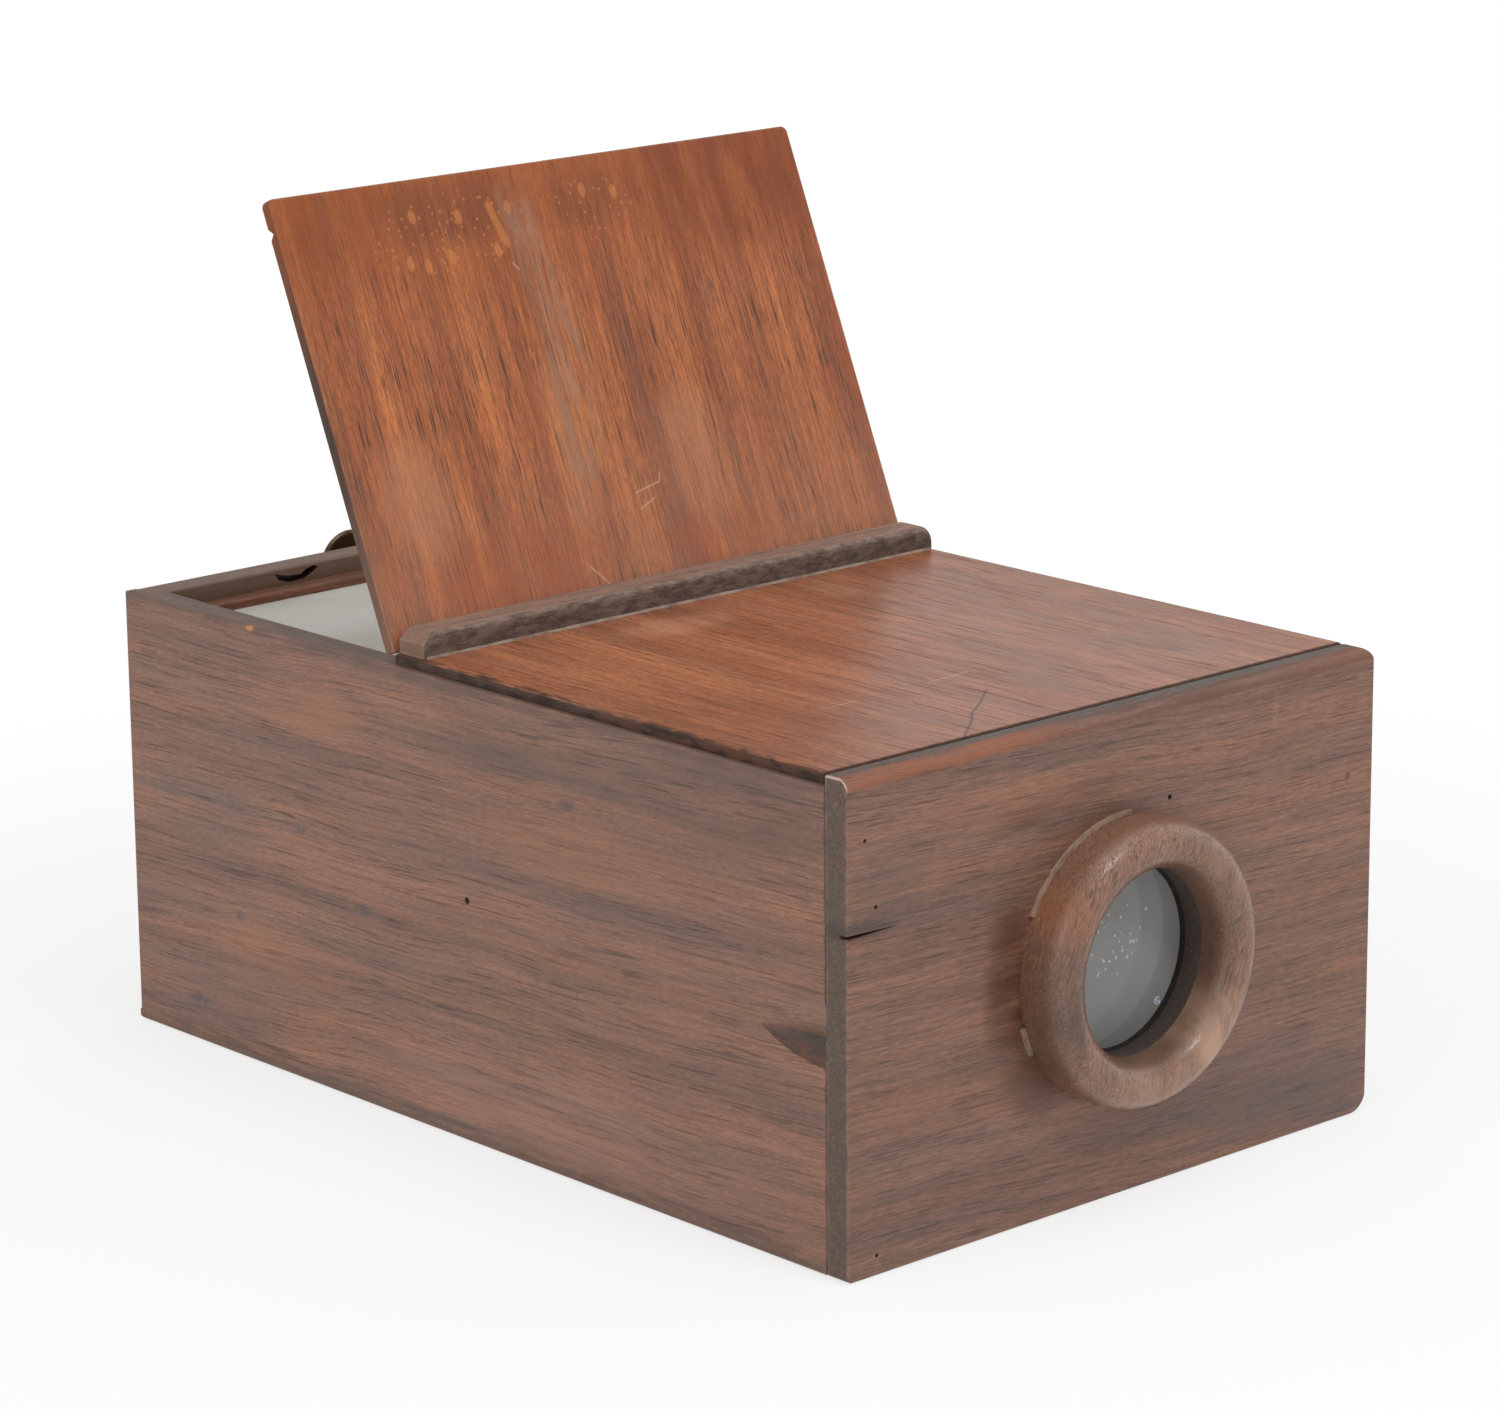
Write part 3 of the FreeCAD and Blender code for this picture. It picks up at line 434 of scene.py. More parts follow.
def wall_marks(n, board, colour):
    """Dark, grey and orange patches, painted shade under the deck's overhang and a darker band along the
    foot, ink blots, a chip on the top edge, and the thumb scoop's two flanks: the upper one pale, a painted
    reflection of the floor, the lower one dark with grime and painted shade."""
    brown, grey, orange = srgb(84, 64, 55), srgb(92, 80, 76), srgb(160, 106, 72)
    colour = tint(n, board, colour, (
        ((-104.0, 112.0), (62.0, 20.0), 0.5, brown),
        ((-28.0, 110.0), (70.0, 14.0), 0.5, brown),
        ((-55.0, 88.0), (60.0, 11.0), 0.45, orange),
        ((60.0, 106.0), (32.0, 10.0), 0.45, orange),
        ((78.0, 31.0), (46.0, 12.0), 0.35, orange),
        ((108.0, 68.0), (36.0, 18.0), 0.4, grey),
        ((104.0, 13.0), (40.0, 12.0), 0.4, grey),
        ((-50.0, 66.0), (110.0, 46.0), 0.2, brown),
        ((-40.0, 14.0), (100.0, 20.0), 0.3, srgb(166, 124, 106))))
    low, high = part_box("left_side_wall")
    level = n.dot(board, across_board)
    ragged = n.noise(board, (14.0, 4.0, 4.0), seed=35.0, detail=3.0)
    # Painted shade under the deck's overhang along the top, and a darker band along the foot
    edge_shade_and_dirt = n.math("MAXIMUM", n.span(level, high.z / MM - 4.5, high.z / MM - 0.5),
                  n.span(level, low.z / MM + 3.0, low.z / MM + 0.5))
    edge_shade_and_dirt = n.times(edge_shade_and_dirt, n.span(ragged, 0.35, 0.6, 0.3, 1.0))
    colour = n.blend(n.times(edge_shade_and_dirt, 0.55), colour, srgb(70, 56, 49))
    uneven = n.noise(board, (2.2, 2.2, 2.2), seed=14.0, detail=3.0)
    for centre, size in (((37.5, 54.7), (5.0, 2.6)), ((113.4, 12.0), (6.0, 3.5)),
                         ((64.9, 71.3), (3.0, 1.6)), ((93.3, 41.1), (3.0, 1.8)),
                         ((-47.0, 101.0), (5.0, 2.4))):
        blot = n.times(n.near_spot(board, centre, size), n.span(uneven, 0.3, 0.6))
        colour = n.blend(n.times(blot, 0.7), colour, srgb(68, 63, 68))
    inward = n.math("ADD", n.dot(board, through_board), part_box("right_side_wall")[1].x / MM)
    chip = n.times(n.near_spot(board, (84.8, 123.7), (2.4, 1.0)), n.span(inward, 2.0, 0.8))
    colour = n.blend(chip, colour, srgb(188, 122, 70))
    hollow = n.times(n.near_spot(board, (-141.9, 60.0), (46.0, 30.0)), n.span(inward, 0.05, 0.25))
    up = n.facing(z_axis)
    # The scoop's upper flank faces down and is paler: a painted reflection of the floor
    colour = n.blend(n.times(n.span(up, -0.05, -0.5), hollow, 0.25), colour, srgb(146, 120, 104))
    # The scoop's lower flank faces up and is dark: grime and painted shade, darkest deepest in
    grime_and_shade = n.blend(n.span(uneven, 0.35, 0.65), srgb(50, 35, 27), srgb(88, 51, 33))
    grime_and_shade = n.blend(n.times(n.span(inward, 1.6, 3.8), 0.8), grime_and_shade, srgb(48, 42, 35))
    return n.blend(n.times(n.span(up, 0.02, 0.4), hollow, 0.9), colour, grime_and_shade)


def rear_marks(n, board, colour):
    """The rear wall's dusty inner face above the screen, and painted shade inside its worn mortice."""
    inner = n.span(n.facing(-y_axis), 0.3, 0.8)
    colour = n.blend(n.times(inner, 0.7), colour, srgb(122, 106, 91))
    low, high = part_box("rear_wall")
    thick = (high.y - low.y) / MM
    sunk = n.math("SUBTRACT", low.y / -MM, n.dot(board, through_board))
    under = n.math("SUBTRACT", high.z / MM, n.dot(board, across_board))
    # Painted shade inside the mortice
    pocket = n.times(n.near_spot(board, (-41.5, 121.6), (14.0, 6.0)), n.span(sunk, 0.1, 0.5),
                     n.span(sunk, thick - 0.2, thick - 1.0), n.span(under, 0.1, 0.5))
    return n.blend(n.times(pocket, 0.9), colour, srgb(38, 29, 25))


def deck_marks(n, board, colour):
    """Painted sheen as pale patches beside the strip, grey streaks at the front, a dark crooked scratch,
    two fine pale ones, and a darker band along the front and left edges, painted shade in the front edge's
    gap."""
    pale, grey, brown, red = srgb(196, 146, 114), srgb(112, 90, 82), srgb(114, 84, 70), srgb(110, 66, 48)
    colour = tint(n, board, colour, (
        # Pale patches beside the strip: painted sheen
        ((-4.0, -20.0), (12.0, 26.0), 0.45, pale),
        ((-4.0, 38.0), (14.0, 10.0), 0.3, pale),
        ((-120.0, 8.0), (36.0, 7.0), 0.45, grey),
        ((-116.0, 60.0), (36.0, 10.0), 0.35, grey),
        ((-118.0, -46.0), (30.0, 14.0), 0.3, grey),
        ((-60.0, 62.0), (100.0, 60.0), 0.45, brown),
        ((-122.0, 0.0), (60.0, 110.0), 0.3, brown),
        ((-104.0, -76.0), (70.0, 36.0), 0.4, red)))
    dark = ((-110.6, -9.1), (-119.1, -19.8), (-124.4, -27.9), (-130.2, -33.8), (-139.0, -45.0))
    colour = n.blend(n.times(n.near_line(board, dark, 0.6), 0.75), colour, srgb(62, 42, 36))
    for line in (((-95.0, -14.0), (-94.0, 0.5)), ((-96.0, -51.1), (-95.7, -40.6))):
        colour = n.blend(n.times(n.near_line(board, line, 0.4), 0.4), colour, srgb(206, 166, 140))
    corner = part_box("top_deck")[0] / MM
    ragged = n.noise(board, (8.0, 3.0, 3.0), seed=33.0, detail=3.0)
    # Darker along the front edge, painted shade in its gap, and along the ragged left edge
    front = n.span(n.dot(board, along_board), corner.y + 1.0, corner.y + 0.3)
    left = n.span(n.dot(board, across_board), corner.x + 3.0, corner.x + 0.5)
    edge_shade_and_dirt = n.math("MAXIMUM", front, n.times(left, n.span(ragged, 0.45, 0.6)))
    return n.blend(n.times(edge_shade_and_dirt, 0.8), colour, srgb(52, 41, 36))


def lid_marks(n, board, colour):
    """A painted reflection of the deck, paler towards the foot, redder wood at the free edge and towards
    both ends, painted sheen as pale patches, a spattered stain near the free edge, a grey rub mark and a
    few pale scratches. The underside is clean."""
    clean = colour
    red, pale, plum, brown = srgb(158, 78, 42), srgb(186, 128, 94), srgb(104, 53, 27), srgb(116, 50, 12)
    up = n.dot(board, along_board)
    # Paler towards the foot: a painted reflection of the deck
    colour = n.blend(n.span(up, 60.0, 0.0, 0.0, 0.26), colour, srgb(184, 134, 108))
    colour = n.blend(n.span(up, 70.0, 125.0, 0.0, 0.55), colour, srgb(154, 77, 24))
    colour = tint(n, board, colour, (
        ((14.0, -45.0), (18.0, 46.0), 0.55, red),
        ((12.0, 26.0), (12.0, 30.0), 0.4, red),
        ((114.0, 66.0), (34.0, 50.0), 0.75, brown),
        ((114.0, -72.0), (22.0, 30.0), 0.3, brown),
        # Pale patches: painted sheen
        ((38.0, -72.0), (24.0, 16.0), 0.45, pale),
        ((38.0, 26.0), (26.0, 18.0), 0.45, pale),
        ((44.0, -18.0), (34.0, 9.0), 0.35, pale),
        ((114.0, -36.0), (13.0, 36.0), 0.6, plum),
        ((112.0, 14.0), (12.0, 22.0), 0.45, plum)))
    spatter = n.math("MAXIMUM", n.near_spot(board, (108.0, -36.0), (16.0, 40.0)),
                     n.times(n.near_spot(board, (109.0, 14.0), (14.0, 26.0)), 0.7))
    for size, long, few, seed in ((2.6, 1.0, 0.5, 3.0), (7.5, 1.7, 0.72, 8.0)):
        gap, own = n.cells(board, (size * long, size, size), seed)
        drop = n.times(n.span(gap, 0.2, 0.12), n.span(own, few, few + 0.03), n.span(spatter, 0.2, 0.6))
        colour = n.blend(n.times(drop, 0.5), colour, srgb(200, 126, 70))
    amber = n.near_line(board, ((114.0, -21.3), (103.0, -18.5)), 1.8)
    colour = n.blend(n.times(amber, 0.55), colour, srgb(200, 124, 60))
    rub = n.near_line(board, ((113.0, -13.0), (77.0, -9.0), (40.0, -12.0)), 9.0)
    broken = n.noise(board, (14.0, 4.0, 4.0), seed=12.0, detail=3.0)
    colour = n.blend(n.times(rub, n.span(broken, 0.35, 0.65), 0.5), colour, srgb(150, 120, 100))
    for line in (((29.0, 1.7), (30.9, 10.8), (33.5, 11.7)), ((26.7, 7.5), (24.4, 1.8)),
                 ((97.3, -18.4), (95.2, -16.9)), ((11.7, -20.9), (6.0, -15.9))):
        colour = n.blend(n.times(n.near_line(board, line, 0.36), 0.5), colour, srgb(214, 170, 138))
    underside = n.span(n.facing(x_axis.cross(lid_up)), -0.1, -0.5)
    return n.blend(underside, colour, clean)


def strip_marks(n, board, colour):
    """A grimy front, darkest at its foot with painted shade, a barer left end, and faint slanting scratches
    across the front beside it."""
    ahead = n.facing(-y_axis)
    mottle = n.noise(board, (4.0, 1.4, 1.4), seed=17.0, detail=4.0, rough=0.65)
    grime_and_shade = n.blend(n.span(mottle, 0.35, 0.65), srgb(88, 73, 65), srgb(136, 116, 104))
    colour = n.blend(n.times(n.span(ahead, 0.25, 0.6), 0.85), colour, grime_and_shade)
    up = n.math("SUBTRACT", n.dot(board, through_board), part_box("top_deck")[1].z / MM)
    # Painted shade at the foot, where the strip meets the deck
    foot = n.times(n.span(ahead, 0.25, 0.6), n.span(up, 6.5, 2.5))
    colour = n.blend(n.times(foot, 0.3), colour, srgb(62, 48, 41))
    left = n.span(n.facing(-x_axis), 0.4, 0.8)
    colour = n.blend(n.times(left, 0.8), colour, srgb(128, 100, 85))
    front = n.span(ahead, 0.5, 0.8)
    slant = n.math("FRACT", n.dot(board, (1 / hatch_step, 0.0, -1 / hatch_step)))
    line = n.span(n.math("ABSOLUTE", n.math("SUBTRACT", slant, 0.5)), 0.13, 0.03)
    across = n.dot(board, along_board)
    broken = n.noise(board, (5.0, 2.0, 2.0), seed=16.0, detail=2.0)
    mask = n.times(line, front, n.span(across, -54.0, -70.0), n.span(broken, 0.45, 0.65))
    return n.blend(n.times(mask, 0.3), colour, srgb(140, 120, 108))


def panel_marks(n, board, colour):
    """Dark, orange and red patches, the ring's painted shadow in dark red beside and below it, orange wood
    where the panel's top edge is rubbed, grey dust behind that, a pale left corner, a pale scratch at the
    top right and the dark stain round the split."""
    grey, orange, red = srgb(86, 76, 73), srgb(158, 104, 72), srgb(84, 47, 32)
    colour = tint(n, board, colour, (
        ((-80.0, 98.0), (18.0, 12.0), 0.45, grey),
        ((62.0, 17.0), (74.0, 18.0), 0.4, grey),
        ((-44.0, 110.0), (40.0, 8.0), 0.35, orange),
        ((-52.0, 38.0), (50.0, 9.0), 0.25, orange),
        # Painted shadow of the ring, left of it
        ((-40.0, 62.0), (11.0, 34.0), 0.9, red),
        ((-16.0, 105.0), (36.0, 10.0), 0.6, red),
        # Painted shadow of the ring, below it on the left
        ((-30.0, 37.0), (14.0, 16.0), 0.7, red),
        ((74.0, 5.0), (44.0, 9.0), 0.6, grey),
        ((50.0, 124.0), (70.0, 5.0), 0.5, red)))
    up = n.facing(z_axis)
    patchy = n.noise(board, (26.0, 3.0, 3.0), seed=18.0, detail=4.0)
    across = n.dot(board, along_board)
    ends = n.math("MAXIMUM", n.span(across, 0.0, -50.0), n.span(across, 58.0, 72.0, 0.0, 0.3))
    bare = n.blend(ends, srgb(92, 54, 37), srgb(150, 80, 42))
    rubbed = n.times(n.span(up, 0.0, 0.2), n.span(patchy, 0.3, 0.6, 0.3, 1.0))
    colour = n.blend(n.times(rubbed, 0.7), colour, bare)
    fine = n.noise(board, (1.2, 1.2, 1.2), seed=19.0, detail=3.0)
    dust = n.blend(n.span(fine, 0.35, 0.65), srgb(61, 51, 45), srgb(82, 70, 62))
    ahead = n.math("ADD", n.dot(board, through_board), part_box("front_panel")[1].y / MM)
    dusty = n.times(n.span(up, 0.7, 0.9), n.span(ahead, 4.6, 3.2))
    colour = n.blend(n.times(dusty, 0.9), colour, dust)
    corner = n.times(n.span(across, -94.2, -94.7), n.span(up, 0.05, 0.3), n.span(fine, 0.3, 0.5, 0.4, 1.0))
    colour = n.blend(n.times(corner, 0.8), colour, srgb(196, 172, 154))
    scratch = n.near_line(board, ((56.4, 113.0), (57.0, 121.0)), 1.6)
    colour = n.blend(n.times(scratch, n.span(fine, 0.3, 0.6), 0.35), colour, srgb(170, 128, 106))
    stain = n.near_spot(board, (-90.0, 89.0), (16.0, 3.4))
    return n.blend(n.times(stain, 0.55), colour, srgb(50, 40, 38))


def ring_marks(n, board, colour):
    """Painted shade and reflections as dark and orange patches, painted highlights as pale patches, black
    paint in the ring's bore, painted shade on the slope round it, pale specks of dust, and a pale edge on
    what is left of the flange."""
    axis = lens_middle / MM
    brown, orange, pale = srgb(80, 62, 53), srgb(150, 90, 55), srgb(184, 148, 124)
    colour = tint(n, board, colour, (
        # Dark and orange patches: painted shade and reflections on the polished ring
        ((49.0, -31.0), (20.0, 8.0), 0.6, brown),
        ((82.0, -29.0), (12.0, 8.0), 0.35, orange),
        ((60.0, 31.0), (26.0, 6.0), 0.2, brown),
        ((62.0, -30.0), (20.0, 11.0), 0.5, brown),
        # Pale patches: painted highlights
        ((31.0, 4.0), (12.0, 28.0), 0.4, pale),
        ((42.0, 22.0), (14.0, 16.0), 0.9, pale),
        ((80.0, 24.0), (14.0, 10.0), 0.25, pale)))
    out = n.vector_math("MULTIPLY_ADD", board, (1, 1, 0), (-axis.z, -axis.x, 0.0))
    radius = n.length(out)
    deep = n.dot(board, through_board)
    # Painted shade on the slope down into the bore
    slope_shade = n.span(radius, bore_radius + 5.0, bore_radius + 0.5, 0.0, 0.4)
    colour = n.blend(slope_shade, colour, srgb(88, 67, 54))
    painted = n.times(n.span(radius, bore_radius + 1.2, bore_radius + 0.5),
                      n.span(deep, bore_paint_y - 0.25, bore_paint_y + 0.25))
    colour = n.blend(painted, colour, srgb(76, 65, 58))
    fine = n.noise(board, (0.7, 0.7, 0.7), seed=22.0, detail=2.0, rough=0.7)
    colour = n.blend(n.times(n.span(fine, 0.6, 0.72), 0.4), colour, srgb(176, 150, 130))
    chipped = n.noise(board, (3.0, 3.0, 1.5), seed=21.0, detail=3.0)
    rim = n.times(n.span(radius, ring_radius + 0.1, ring_radius + 0.5), n.span(chipped, 0.3, 0.6, 0.4, 1.0))
    return n.blend(n.times(rim, 0.55), colour, srgb(176, 158, 140))


def dress_woods():
    """Every board, with the way that its grain runs."""
    wood("left_side_wall", dull_mahogany, y_axis, z_axis, seed=3.0, lean=0.03, marks=wall_marks)
    wood("right_side_wall", dull_mahogany, y_axis, z_axis, seed=11.0)
    wood("rear_wall", dull_mahogany, x_axis, z_axis, seed=19.0, marks=rear_marks)
    wood("bottom_board", dull_mahogany, y_axis, x_axis, seed=23.0)
    wood("front_panel", panel_mahogany, x_axis, z_axis, seed=31.0, lean=0.035, marks=panel_marks)
    wood("top_deck", deck_mahogany, y_axis, x_axis, seed=37.0, marks=deck_marks)
    wood("lid_board", lid_mahogany, lid_up, x_axis, seed=41.0, origin=lid_hinge, marks=lid_marks)
    wood("lid_stop_strip", weathered_mahogany, x_axis, y_axis, seed=47.0, marks=strip_marks)
    wood("lens_ring", turned_mahogany, z_axis, x_axis, seed=53.0, lean=-0.4, marks=ring_marks)
    for number, node in enumerate(("hinge_rail", "rear_glass_ledge")):
        wood(node, bare_wood, x_axis, z_axis, seed=61.0 + number)
    for number, node in enumerate(("left_glass_ledge", "right_glass_ledge")):
        wood(node, bare_wood, y_axis, z_axis, seed=71.0 + number)
    wood("rear_bead", bead_wood, x_axis, z_axis, seed=65.0)
    wood("left_bead", bead_wood, y_axis, z_axis, seed=75.0)
    wood("right_bead", bead_wood, y_axis, z_axis, seed=77.0)
    wood("drawer_left_side", drawer_deal, y_axis, z_axis, seed=81.0)
    wood("drawer_right_side", drawer_deal, y_axis, z_axis, seed=83.0)
    wood("drawer_top", drawer_deal, y_axis, x_axis, seed=85.0)
    wood("drawer_bottom", drawer_deal, y_axis, x_axis, seed=87.0)
    leaning = (y_axis + z_axis).normalized()
    for number, node in enumerate(("mirror_board", "mirror_toe_strip", "mirror_head_strip")):
        wood(node, black_stain, x_axis, leaning, seed=91.0 + number)
    for number, node in enumerate(("left_mirror_batten", "right_mirror_batten")):
        wood(node, black_stain, leaning, x_axis, seed=95.0 + number)


def metal(name, bright, dull, rough, nodes, metallic=1.0, grain=3.0):
    """Old metal: bright where it is rubbed, dull and rougher in its tarnish."""
    n = Nodes(name)
    point = n.place()
    tarnish = n.noise(point, (grain,) * 3, seed=5.0, detail=5.0, rough=0.65)
    fine = n.noise(point, (grain * 0.12,) * 3, seed=9.0, detail=2.0)
    share = n.span(tarnish, 0.36, 0.66)
    colour = n.blend(share, bright, dull)
    roughness = n.math("MULTIPLY_ADD", share, 0.25, rough)
    n.surface(Base_Color=colour, Metallic=metallic, Roughness=roughness, Normal=n.bump(fine, 0.03))
    for node in nodes:
        dress(node, n.material)


def dress_metals():
    """The knob, the hinges with their screws, the lens's cell and the brads."""
    parts = ("fixed_leaf", "lid_leaf", "pin")
    hinges = [side + "_hinge_" + part for side in ("left", "right") for part in parts]
    screws = ["rail_hinge_screws", "lid_hinge_screws", "lens_cell_screws"]
    metal("aged_brass", bright=srgb(100, 84, 63), dull=srgb(72, 60, 47), rough=0.34,
          nodes=("rear_knob", "knob_rose"), grain=5.0)
    metal("hinge_brass", bright=srgb(160, 131, 84), dull=srgb(126, 102, 66), rough=0.36,
          nodes=hinges + screws)
    metal("black_metal", bright=srgb(52, 48, 45), dull=srgb(38, 34, 31), rough=0.45,
          nodes=("lens_cell", "lens_retaining_ring"), metallic=0.3)
    metal("rusty_iron", bright=srgb(66, 56, 50), dull=srgb(52, 34, 26), rough=0.6,
          nodes=("bottom_brads", "front_panel_brads"), metallic=0.4, grain=1.0)


def dress_glass():
    """The ground screen, the hazy lens and the mirror."""
    n = Nodes("ground_screen")
    point = n.place()
    tooth = n.noise(point, (0.25, 0.25, 0.25), seed=2.0, detail=2.0)
    smear = n.noise(point, (40.0, 26.0, 20.0), seed=4.0, detail=4.0)
    colour = n.blend(n.span(smear, 0.35, 0.7), srgb(222, 222, 216), srgb(206, 206, 198))
    n.surface(Base_Color=colour, Roughness=n.span(tooth, 0.3, 0.7, 0.5, 0.7), Transmission_Weight=0.15,
              IOR=1.5, Normal=n.bump(tooth, 0.02))
    dress("ground_glass", n.material)

    n = Nodes("old_lens")
    point = n.place(lens_middle / MM)
    haze = n.noise(point, (9.0, 9.0, 9.0), seed=6.0, detail=4.0)
    colour = n.blend(n.span(haze, 0.3, 0.7), srgb(155, 155, 153), srgb(160, 159, 158))
    # Lighter towards the right: painted light against the shade of the bore
    rightward = n.dot(point, tuple(x_axis))
    colour = n.blend(n.span(rightward, 0.0, 24.0, 0.0, 0.45), colour, srgb(190, 190, 188))
    away = n.vector_math("MULTIPLY_ADD", point, (1, 0, 1), (-barrel_shade[0], 0.0, -barrel_shade[1]))
    shade = n.span(n.length(away), barrel_shade[2] - 0.35, barrel_shade[2] + 0.35)
    colour = n.blend(shade, colour, n.blend(1.0, colour, (0.84, 0.84, 0.84, 1.0), "MULTIPLY"))
    n.surface(Base_Color=colour, Roughness=n.span(haze, 0.3, 0.7, 0.06, 0.1), Transmission_Weight=0.2,
              IOR=1.52, Specular_IOR_Level=0.12)
    dress("lens", n.material)

    n = Nodes("silvered_mirror")
    point = n.place()
    bloom = n.noise(point, (18.0, 18.0, 18.0), seed=7.0, detail=5.0)
    fine = n.noise(point, (2.0, 2.0, 2.0), seed=8.0, detail=3.0)
    spots = n.times(n.span(bloom, 0.56, 0.72), n.span(fine, 0.4, 0.6))
    colour = n.blend(spots, srgb(214, 216, 214), srgb(116, 112, 104))
    n.surface(Base_Color=colour, Metallic=1.0, Roughness=n.span(spots, 0.0, 1.0, 0.03, 0.3))
    dress("mirror_glass", n.material)


def add_object(name, mesh, material):
    """Adds a finished mesh to the scene."""
    built = bpy.data.meshes.new(name)
    mesh.to_mesh(built)
    mesh.free()
    built.materials.append(material)
    added = bpy.data.objects.new(name, built)
    bpy.context.scene.collection.objects.link(added)
    return added


def piece(name, mesh, body, material):
    """Adds a modelled piece in the row frame, and says what carries it."""
    placed = add_object(name, mesh, material)
    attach(placed, body)


def skin(mesh, rows):
    """Joins each row of corners to the next one with a band of four-sided faces."""
    for row, other in zip(rows, rows[1:]):
        for corner in range(len(row)):
            following = (corner + 1) % len(row)
            mesh.faces.new((row[corner], row[following], other[following], other[corner]))


def on_lens(across, up):
    """A point on the front of the lens, by its place from the middle in millimetres."""
    return Vector((lens_middle.x + across * MM, lens_low.y, lens_middle.z + up * MM))


def plain(name, base, other, rough, cell):
    """A small piece's material: two close colours in a fine mottle."""
    n = Nodes(name)
    mottle = n.noise(n.place(), (cell,) * 3, seed=3.0, detail=3.0)
    colour = n.blend(n.span(mottle, 0.35, 0.65), base, other)
    return n.surface(Base_Color=colour, Roughness=n.span(mottle, 0.3, 0.7, rough - 0.08, rough + 0.08),
                     Normal=n.bump(mottle, 0.05), Specular_IOR_Level=0.3)


def glue_line():
    """An uneven bead of old glue and dust in the corner between the deck and the stop strip."""
    strip_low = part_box("lid_stop_strip")[0]
    deck_low, deck_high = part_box("top_deck")
    start = max(strip_low.x, deck_low.x) / MM + glue_inset
    end = deck_high.x / MM - glue_inset
    count = round((end - start) / glue_step)
    mesh = bmesh.new()
    rows = []
    for number in range(count + 1):
        along = start + (end - start) * number / count
        swell = 1.0 + 0.5 * noise.noise((along * 0.12, 2.0, 0.0))
        swell += 0.15 * noise.noise((along * 0.6, 5.0, 0.0))
        width = glue_width * swell
        height = glue_height * (0.4 + 0.6 * swell)
        row = []
        for back, up in glue_section:
            place = (along * MM, strip_low.y + back * width * MM, deck_high.z + up * height * MM)
            row.append(mesh.verts.new(place))
        rows.append(row)
    skin(mesh, rows)
    mesh.faces.new(rows[0])
    mesh.faces.new(reversed(rows[-1]))
    bmesh.ops.recalc_face_normals(mesh, faces=mesh.faces)
    material = plain("glue_and_dust", srgb(150, 130, 118), srgb(120, 99, 88), rough=0.7, cell=5.0)
    piece("strip_glue_line", mesh, "case", material)


def lens_dust():
    """Specks of dust that lie on the front of the lens, thickest near its middle."""
    draw = random.Random(dust_seed)
    mesh = bmesh.new()
    for _ in range(dust_count):
        across = draw.gauss(dust_middle[0], dust_spread[0])
        up = draw.gauss(dust_middle[1], dust_spread[1])
        size = draw.uniform(*dust_size)
        made = bmesh.ops.create_icosphere(mesh, subdivisions=2, radius=size * MM)
        bmesh.ops.scale(mesh, verts=made["verts"], vec=dust_shape)
        bmesh.ops.translate(mesh, verts=made["verts"], vec=on_lens(across, up))
    material = plain("lens_dust", srgb(205, 205, 203), srgb(180, 180, 178), rough=0.8, cell=0.3)
    piece("lens_dust", mesh, "focus_drawer", material)


def lens_glint():
    """A painted glint on the front of the glass, shaped as a bruise: a raised spot with a ring about it."""
    middle = on_lens(*glint_place)
    mesh = bmesh.new()
    rows = []
    for step in range(glint_steps):
        turn = math.tau * step / glint_steps
        out = Vector((math.cos(turn), 0, math.sin(turn)))
        row = []
        for corner in range(glint_sides):
            round_turn = math.tau * corner / glint_sides
            away = out * (glint_radius + glint_tube * math.cos(round_turn))
            row.append(mesh.verts.new(middle + (away + y_axis * glint_tube * math.sin(round_turn)) * MM))
        rows.append(row)
    skin(mesh, rows + rows[:1])
    made = bmesh.ops.create_icosphere(mesh, subdivisions=3, radius=glint_radius / 2 * MM)
    bmesh.ops.scale(mesh, verts=made["verts"], vec=glint_spot_shape)
    bmesh.ops.translate(mesh, verts=made["verts"], vec=middle)
    bmesh.ops.recalc_face_normals(mesh, faces=mesh.faces)
    # A pale blue-white painted glint
    material = plain("glint_glass", srgb(226, 234, 240), srgb(150, 186, 214), rough=0.4, cell=0.8)
    piece("lens_glint", mesh, "focus_drawer", material)


def wax_fills():
    """Brown wax pressed into the nail holes down the panel's right-hand side."""
    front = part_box("front_panel")[0].y
    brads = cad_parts["front_panel_brads"].data.vertices
    right = [vertex.co for vertex in brads if vertex.co.x > 0]
    levels = []
    for point in sorted(right, key=lambda point: point.z):
        if not levels or point.z - levels[-1][-1].z > hole_gap * MM:
            levels.append([])
        levels[-1].append(point)
    mesh = bmesh.new()
    for points in levels:
        middle = sum(points, Vector()) / len(points)
        made = bmesh.ops.create_uvsphere(mesh, u_segments=20, v_segments=10, radius=wax_radius * MM)
        bmesh.ops.scale(mesh, verts=made["verts"], vec=wax_shape)
        bmesh.ops.translate(mesh, verts=made["verts"], vec=(middle.x, front, middle.z))
    material = plain("brown_wax", srgb(128, 88, 70), srgb(112, 76, 62), rough=0.5, cell=0.6)
    piece("brad_wax_fills", mesh, "focus_drawer", material)


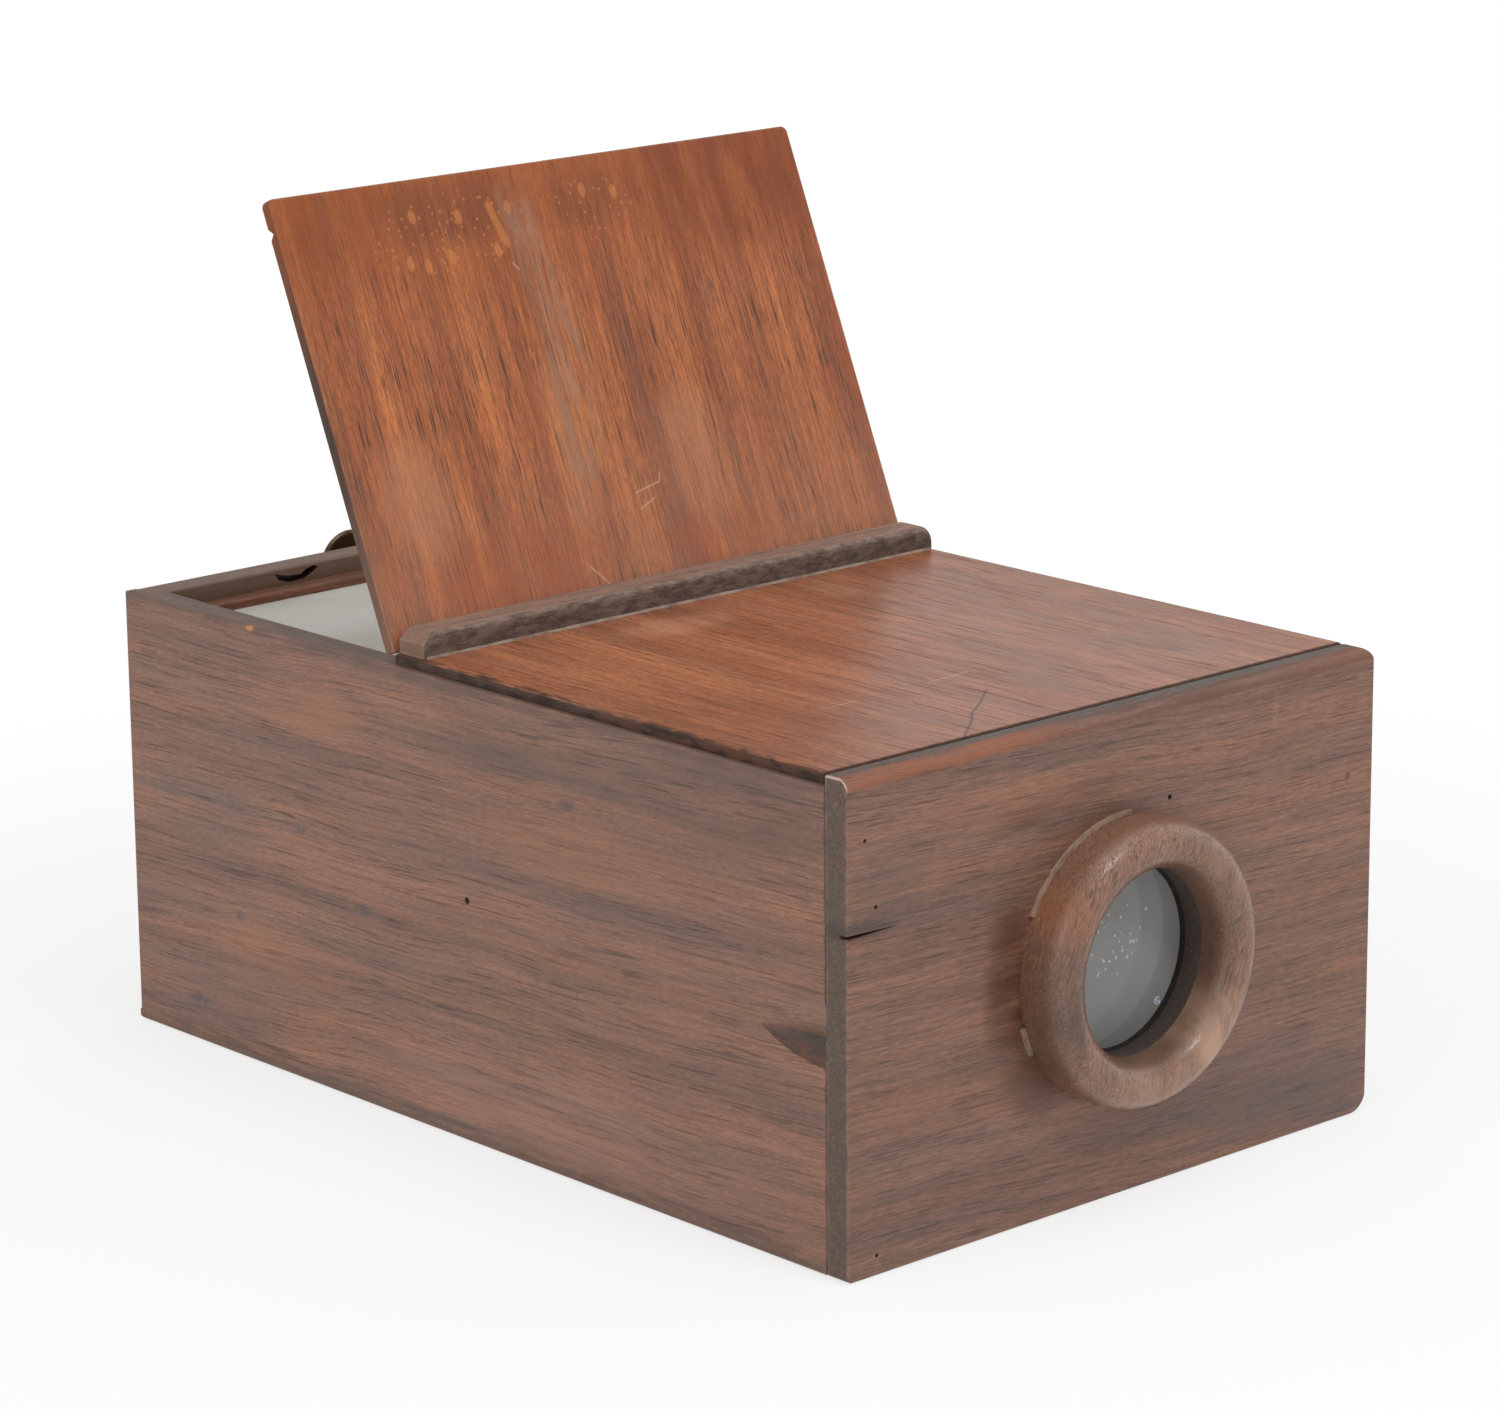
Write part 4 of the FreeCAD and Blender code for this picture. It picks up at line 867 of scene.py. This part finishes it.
def add_camera():
    """The photograph's camera."""
    data = bpy.data.cameras.new("camera")
    data.sensor_width = camera_sensor
    data.sensor_fit = "HORIZONTAL"
    data.lens = camera_lens
    data.clip_end = camera_sight_metres
    camera = bpy.data.objects.new("camera", data)
    turn = Matrix.Rotation(-math.radians(camera_yaw), 4, "Z")
    dip = Matrix.Rotation(math.radians(90 - camera_dip), 4, "X")
    roll = Matrix.Rotation(math.radians(camera_roll), 4, "Z")
    camera.matrix_world = Matrix.Translation(Vector(camera_place) * MM) @ turn @ dip @ roll
    bpy.context.scene.collection.objects.link(camera)
    bpy.context.scene.camera = camera


def seen_rays(tree):
    """1 for rays from the camera, and for rays that show the backdrop in metal and glass."""
    path = tree.nodes.new("ShaderNodeLightPath")
    seen = path.outputs["Is Camera Ray"]
    for other in ("Is Glossy Ray", "Is Transmission Ray"):
        either = tree.nodes.new("ShaderNodeMath")
        either.operation = "MAXIMUM"
        tree.links.new(seen, either.inputs[0])
        tree.links.new(path.outputs[other], either.inputs[1])
        seen = either.outputs[0]
    return seen


def add_world():
    """White to look at, and a plain even light."""
    world = bpy.data.worlds.new("studio")
    bpy.context.scene.world = world
    world.use_nodes = True
    tree = world.node_tree
    tree.nodes.clear()
    output = tree.nodes.new("ShaderNodeOutputWorld")
    either = tree.nodes.new("ShaderNodeMixShader")
    tree.links.new(seen_rays(tree), either.inputs[0])
    for socket, level in ((1, world_level), (2, 1.0)):
        light = tree.nodes.new("ShaderNodeBackground")
        light.inputs["Color"].default_value = (1.0, 1.0, 1.0, 1.0)
        light.inputs["Strength"].default_value = level
        tree.links.new(light.outputs[0], either.inputs[socket])
    tree.links.new(either.outputs[0], output.inputs["Surface"])


def add_floor():
    """A pale floor that keeps the box's shadow, and turns plain white away from it."""
    mesh = bmesh.new()
    bmesh.ops.create_grid(mesh, x_segments=1, y_segments=1, size=floor_size / 2 * MM)
    n = Nodes("pale_floor")
    n.surface(Base_Color=(floor_tone, floor_tone, floor_tone, 1.0), Roughness=0.9, Specular_IOR_Level=0.0)
    lit = n.add("Emission", {"Color": (1.0, 1.0, 1.0, 1.0), "Strength": 1.0})
    away = n.span(n.length(n.place()), *floor_fade, *floor_white)
    share = n.times(seen_rays(n.tree), away)
    both = n.add("MixShader", {0: share, 1: n.shader.outputs[0], 2: lit.outputs[0]})
    n.feed(n.tree.nodes["Material Output"].inputs["Surface"], both.outputs[0])
    floor = add_object("floor", mesh, n.material)
    floor.location.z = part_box("bottom_board")[0].z - floor_gap * MM


def add_lamp(name, azimuth, height, size, watts):
    """A soft square lamp that looks at the middle of the box from its azimuth and height, in degrees."""
    data = bpy.data.lights.new(name, "AREA")
    data.shape = "SQUARE"
    data.size = size * MM
    data.energy = watts
    lamp = bpy.data.objects.new(name, data)
    turn = math.radians(azimuth)
    rise = math.radians(height)
    away = Vector((math.sin(turn) * math.cos(rise), -math.cos(turn) * math.cos(rise), math.sin(rise)))
    target = Vector((0, 0, lamp_target * MM))
    lamp.location = target + away * lamp_reach * MM
    lamp.rotation_euler = (-away).to_track_quat("-Z", "Y").to_euler()
    bpy.context.scene.collection.objects.link(lamp)


def add_lamps():
    """Broad lamps at both sides and above, and a smaller one in front for the sheen."""
    add_lamp("right_lamp", azimuth=80.0, height=22.0, size=1200.0, watts=2.5)
    add_lamp("left_lamp", azimuth=-80.0, height=25.0, size=1000.0, watts=6.0)
    add_lamp("top_lamp", azimuth=0.0, height=80.0, size=800.0, watts=4.0)
    add_lamp("front_lamp", azimuth=5.0, height=48.0, size=300.0, watts=4.0)


dress_woods()
dress_metals()
dress_glass()
glue_line()
lens_dust()
lens_glint()
wax_fills()
add_camera()
add_world()
add_floor()
add_lamps()
bpy.context.scene.view_settings.view_transform = "Standard"
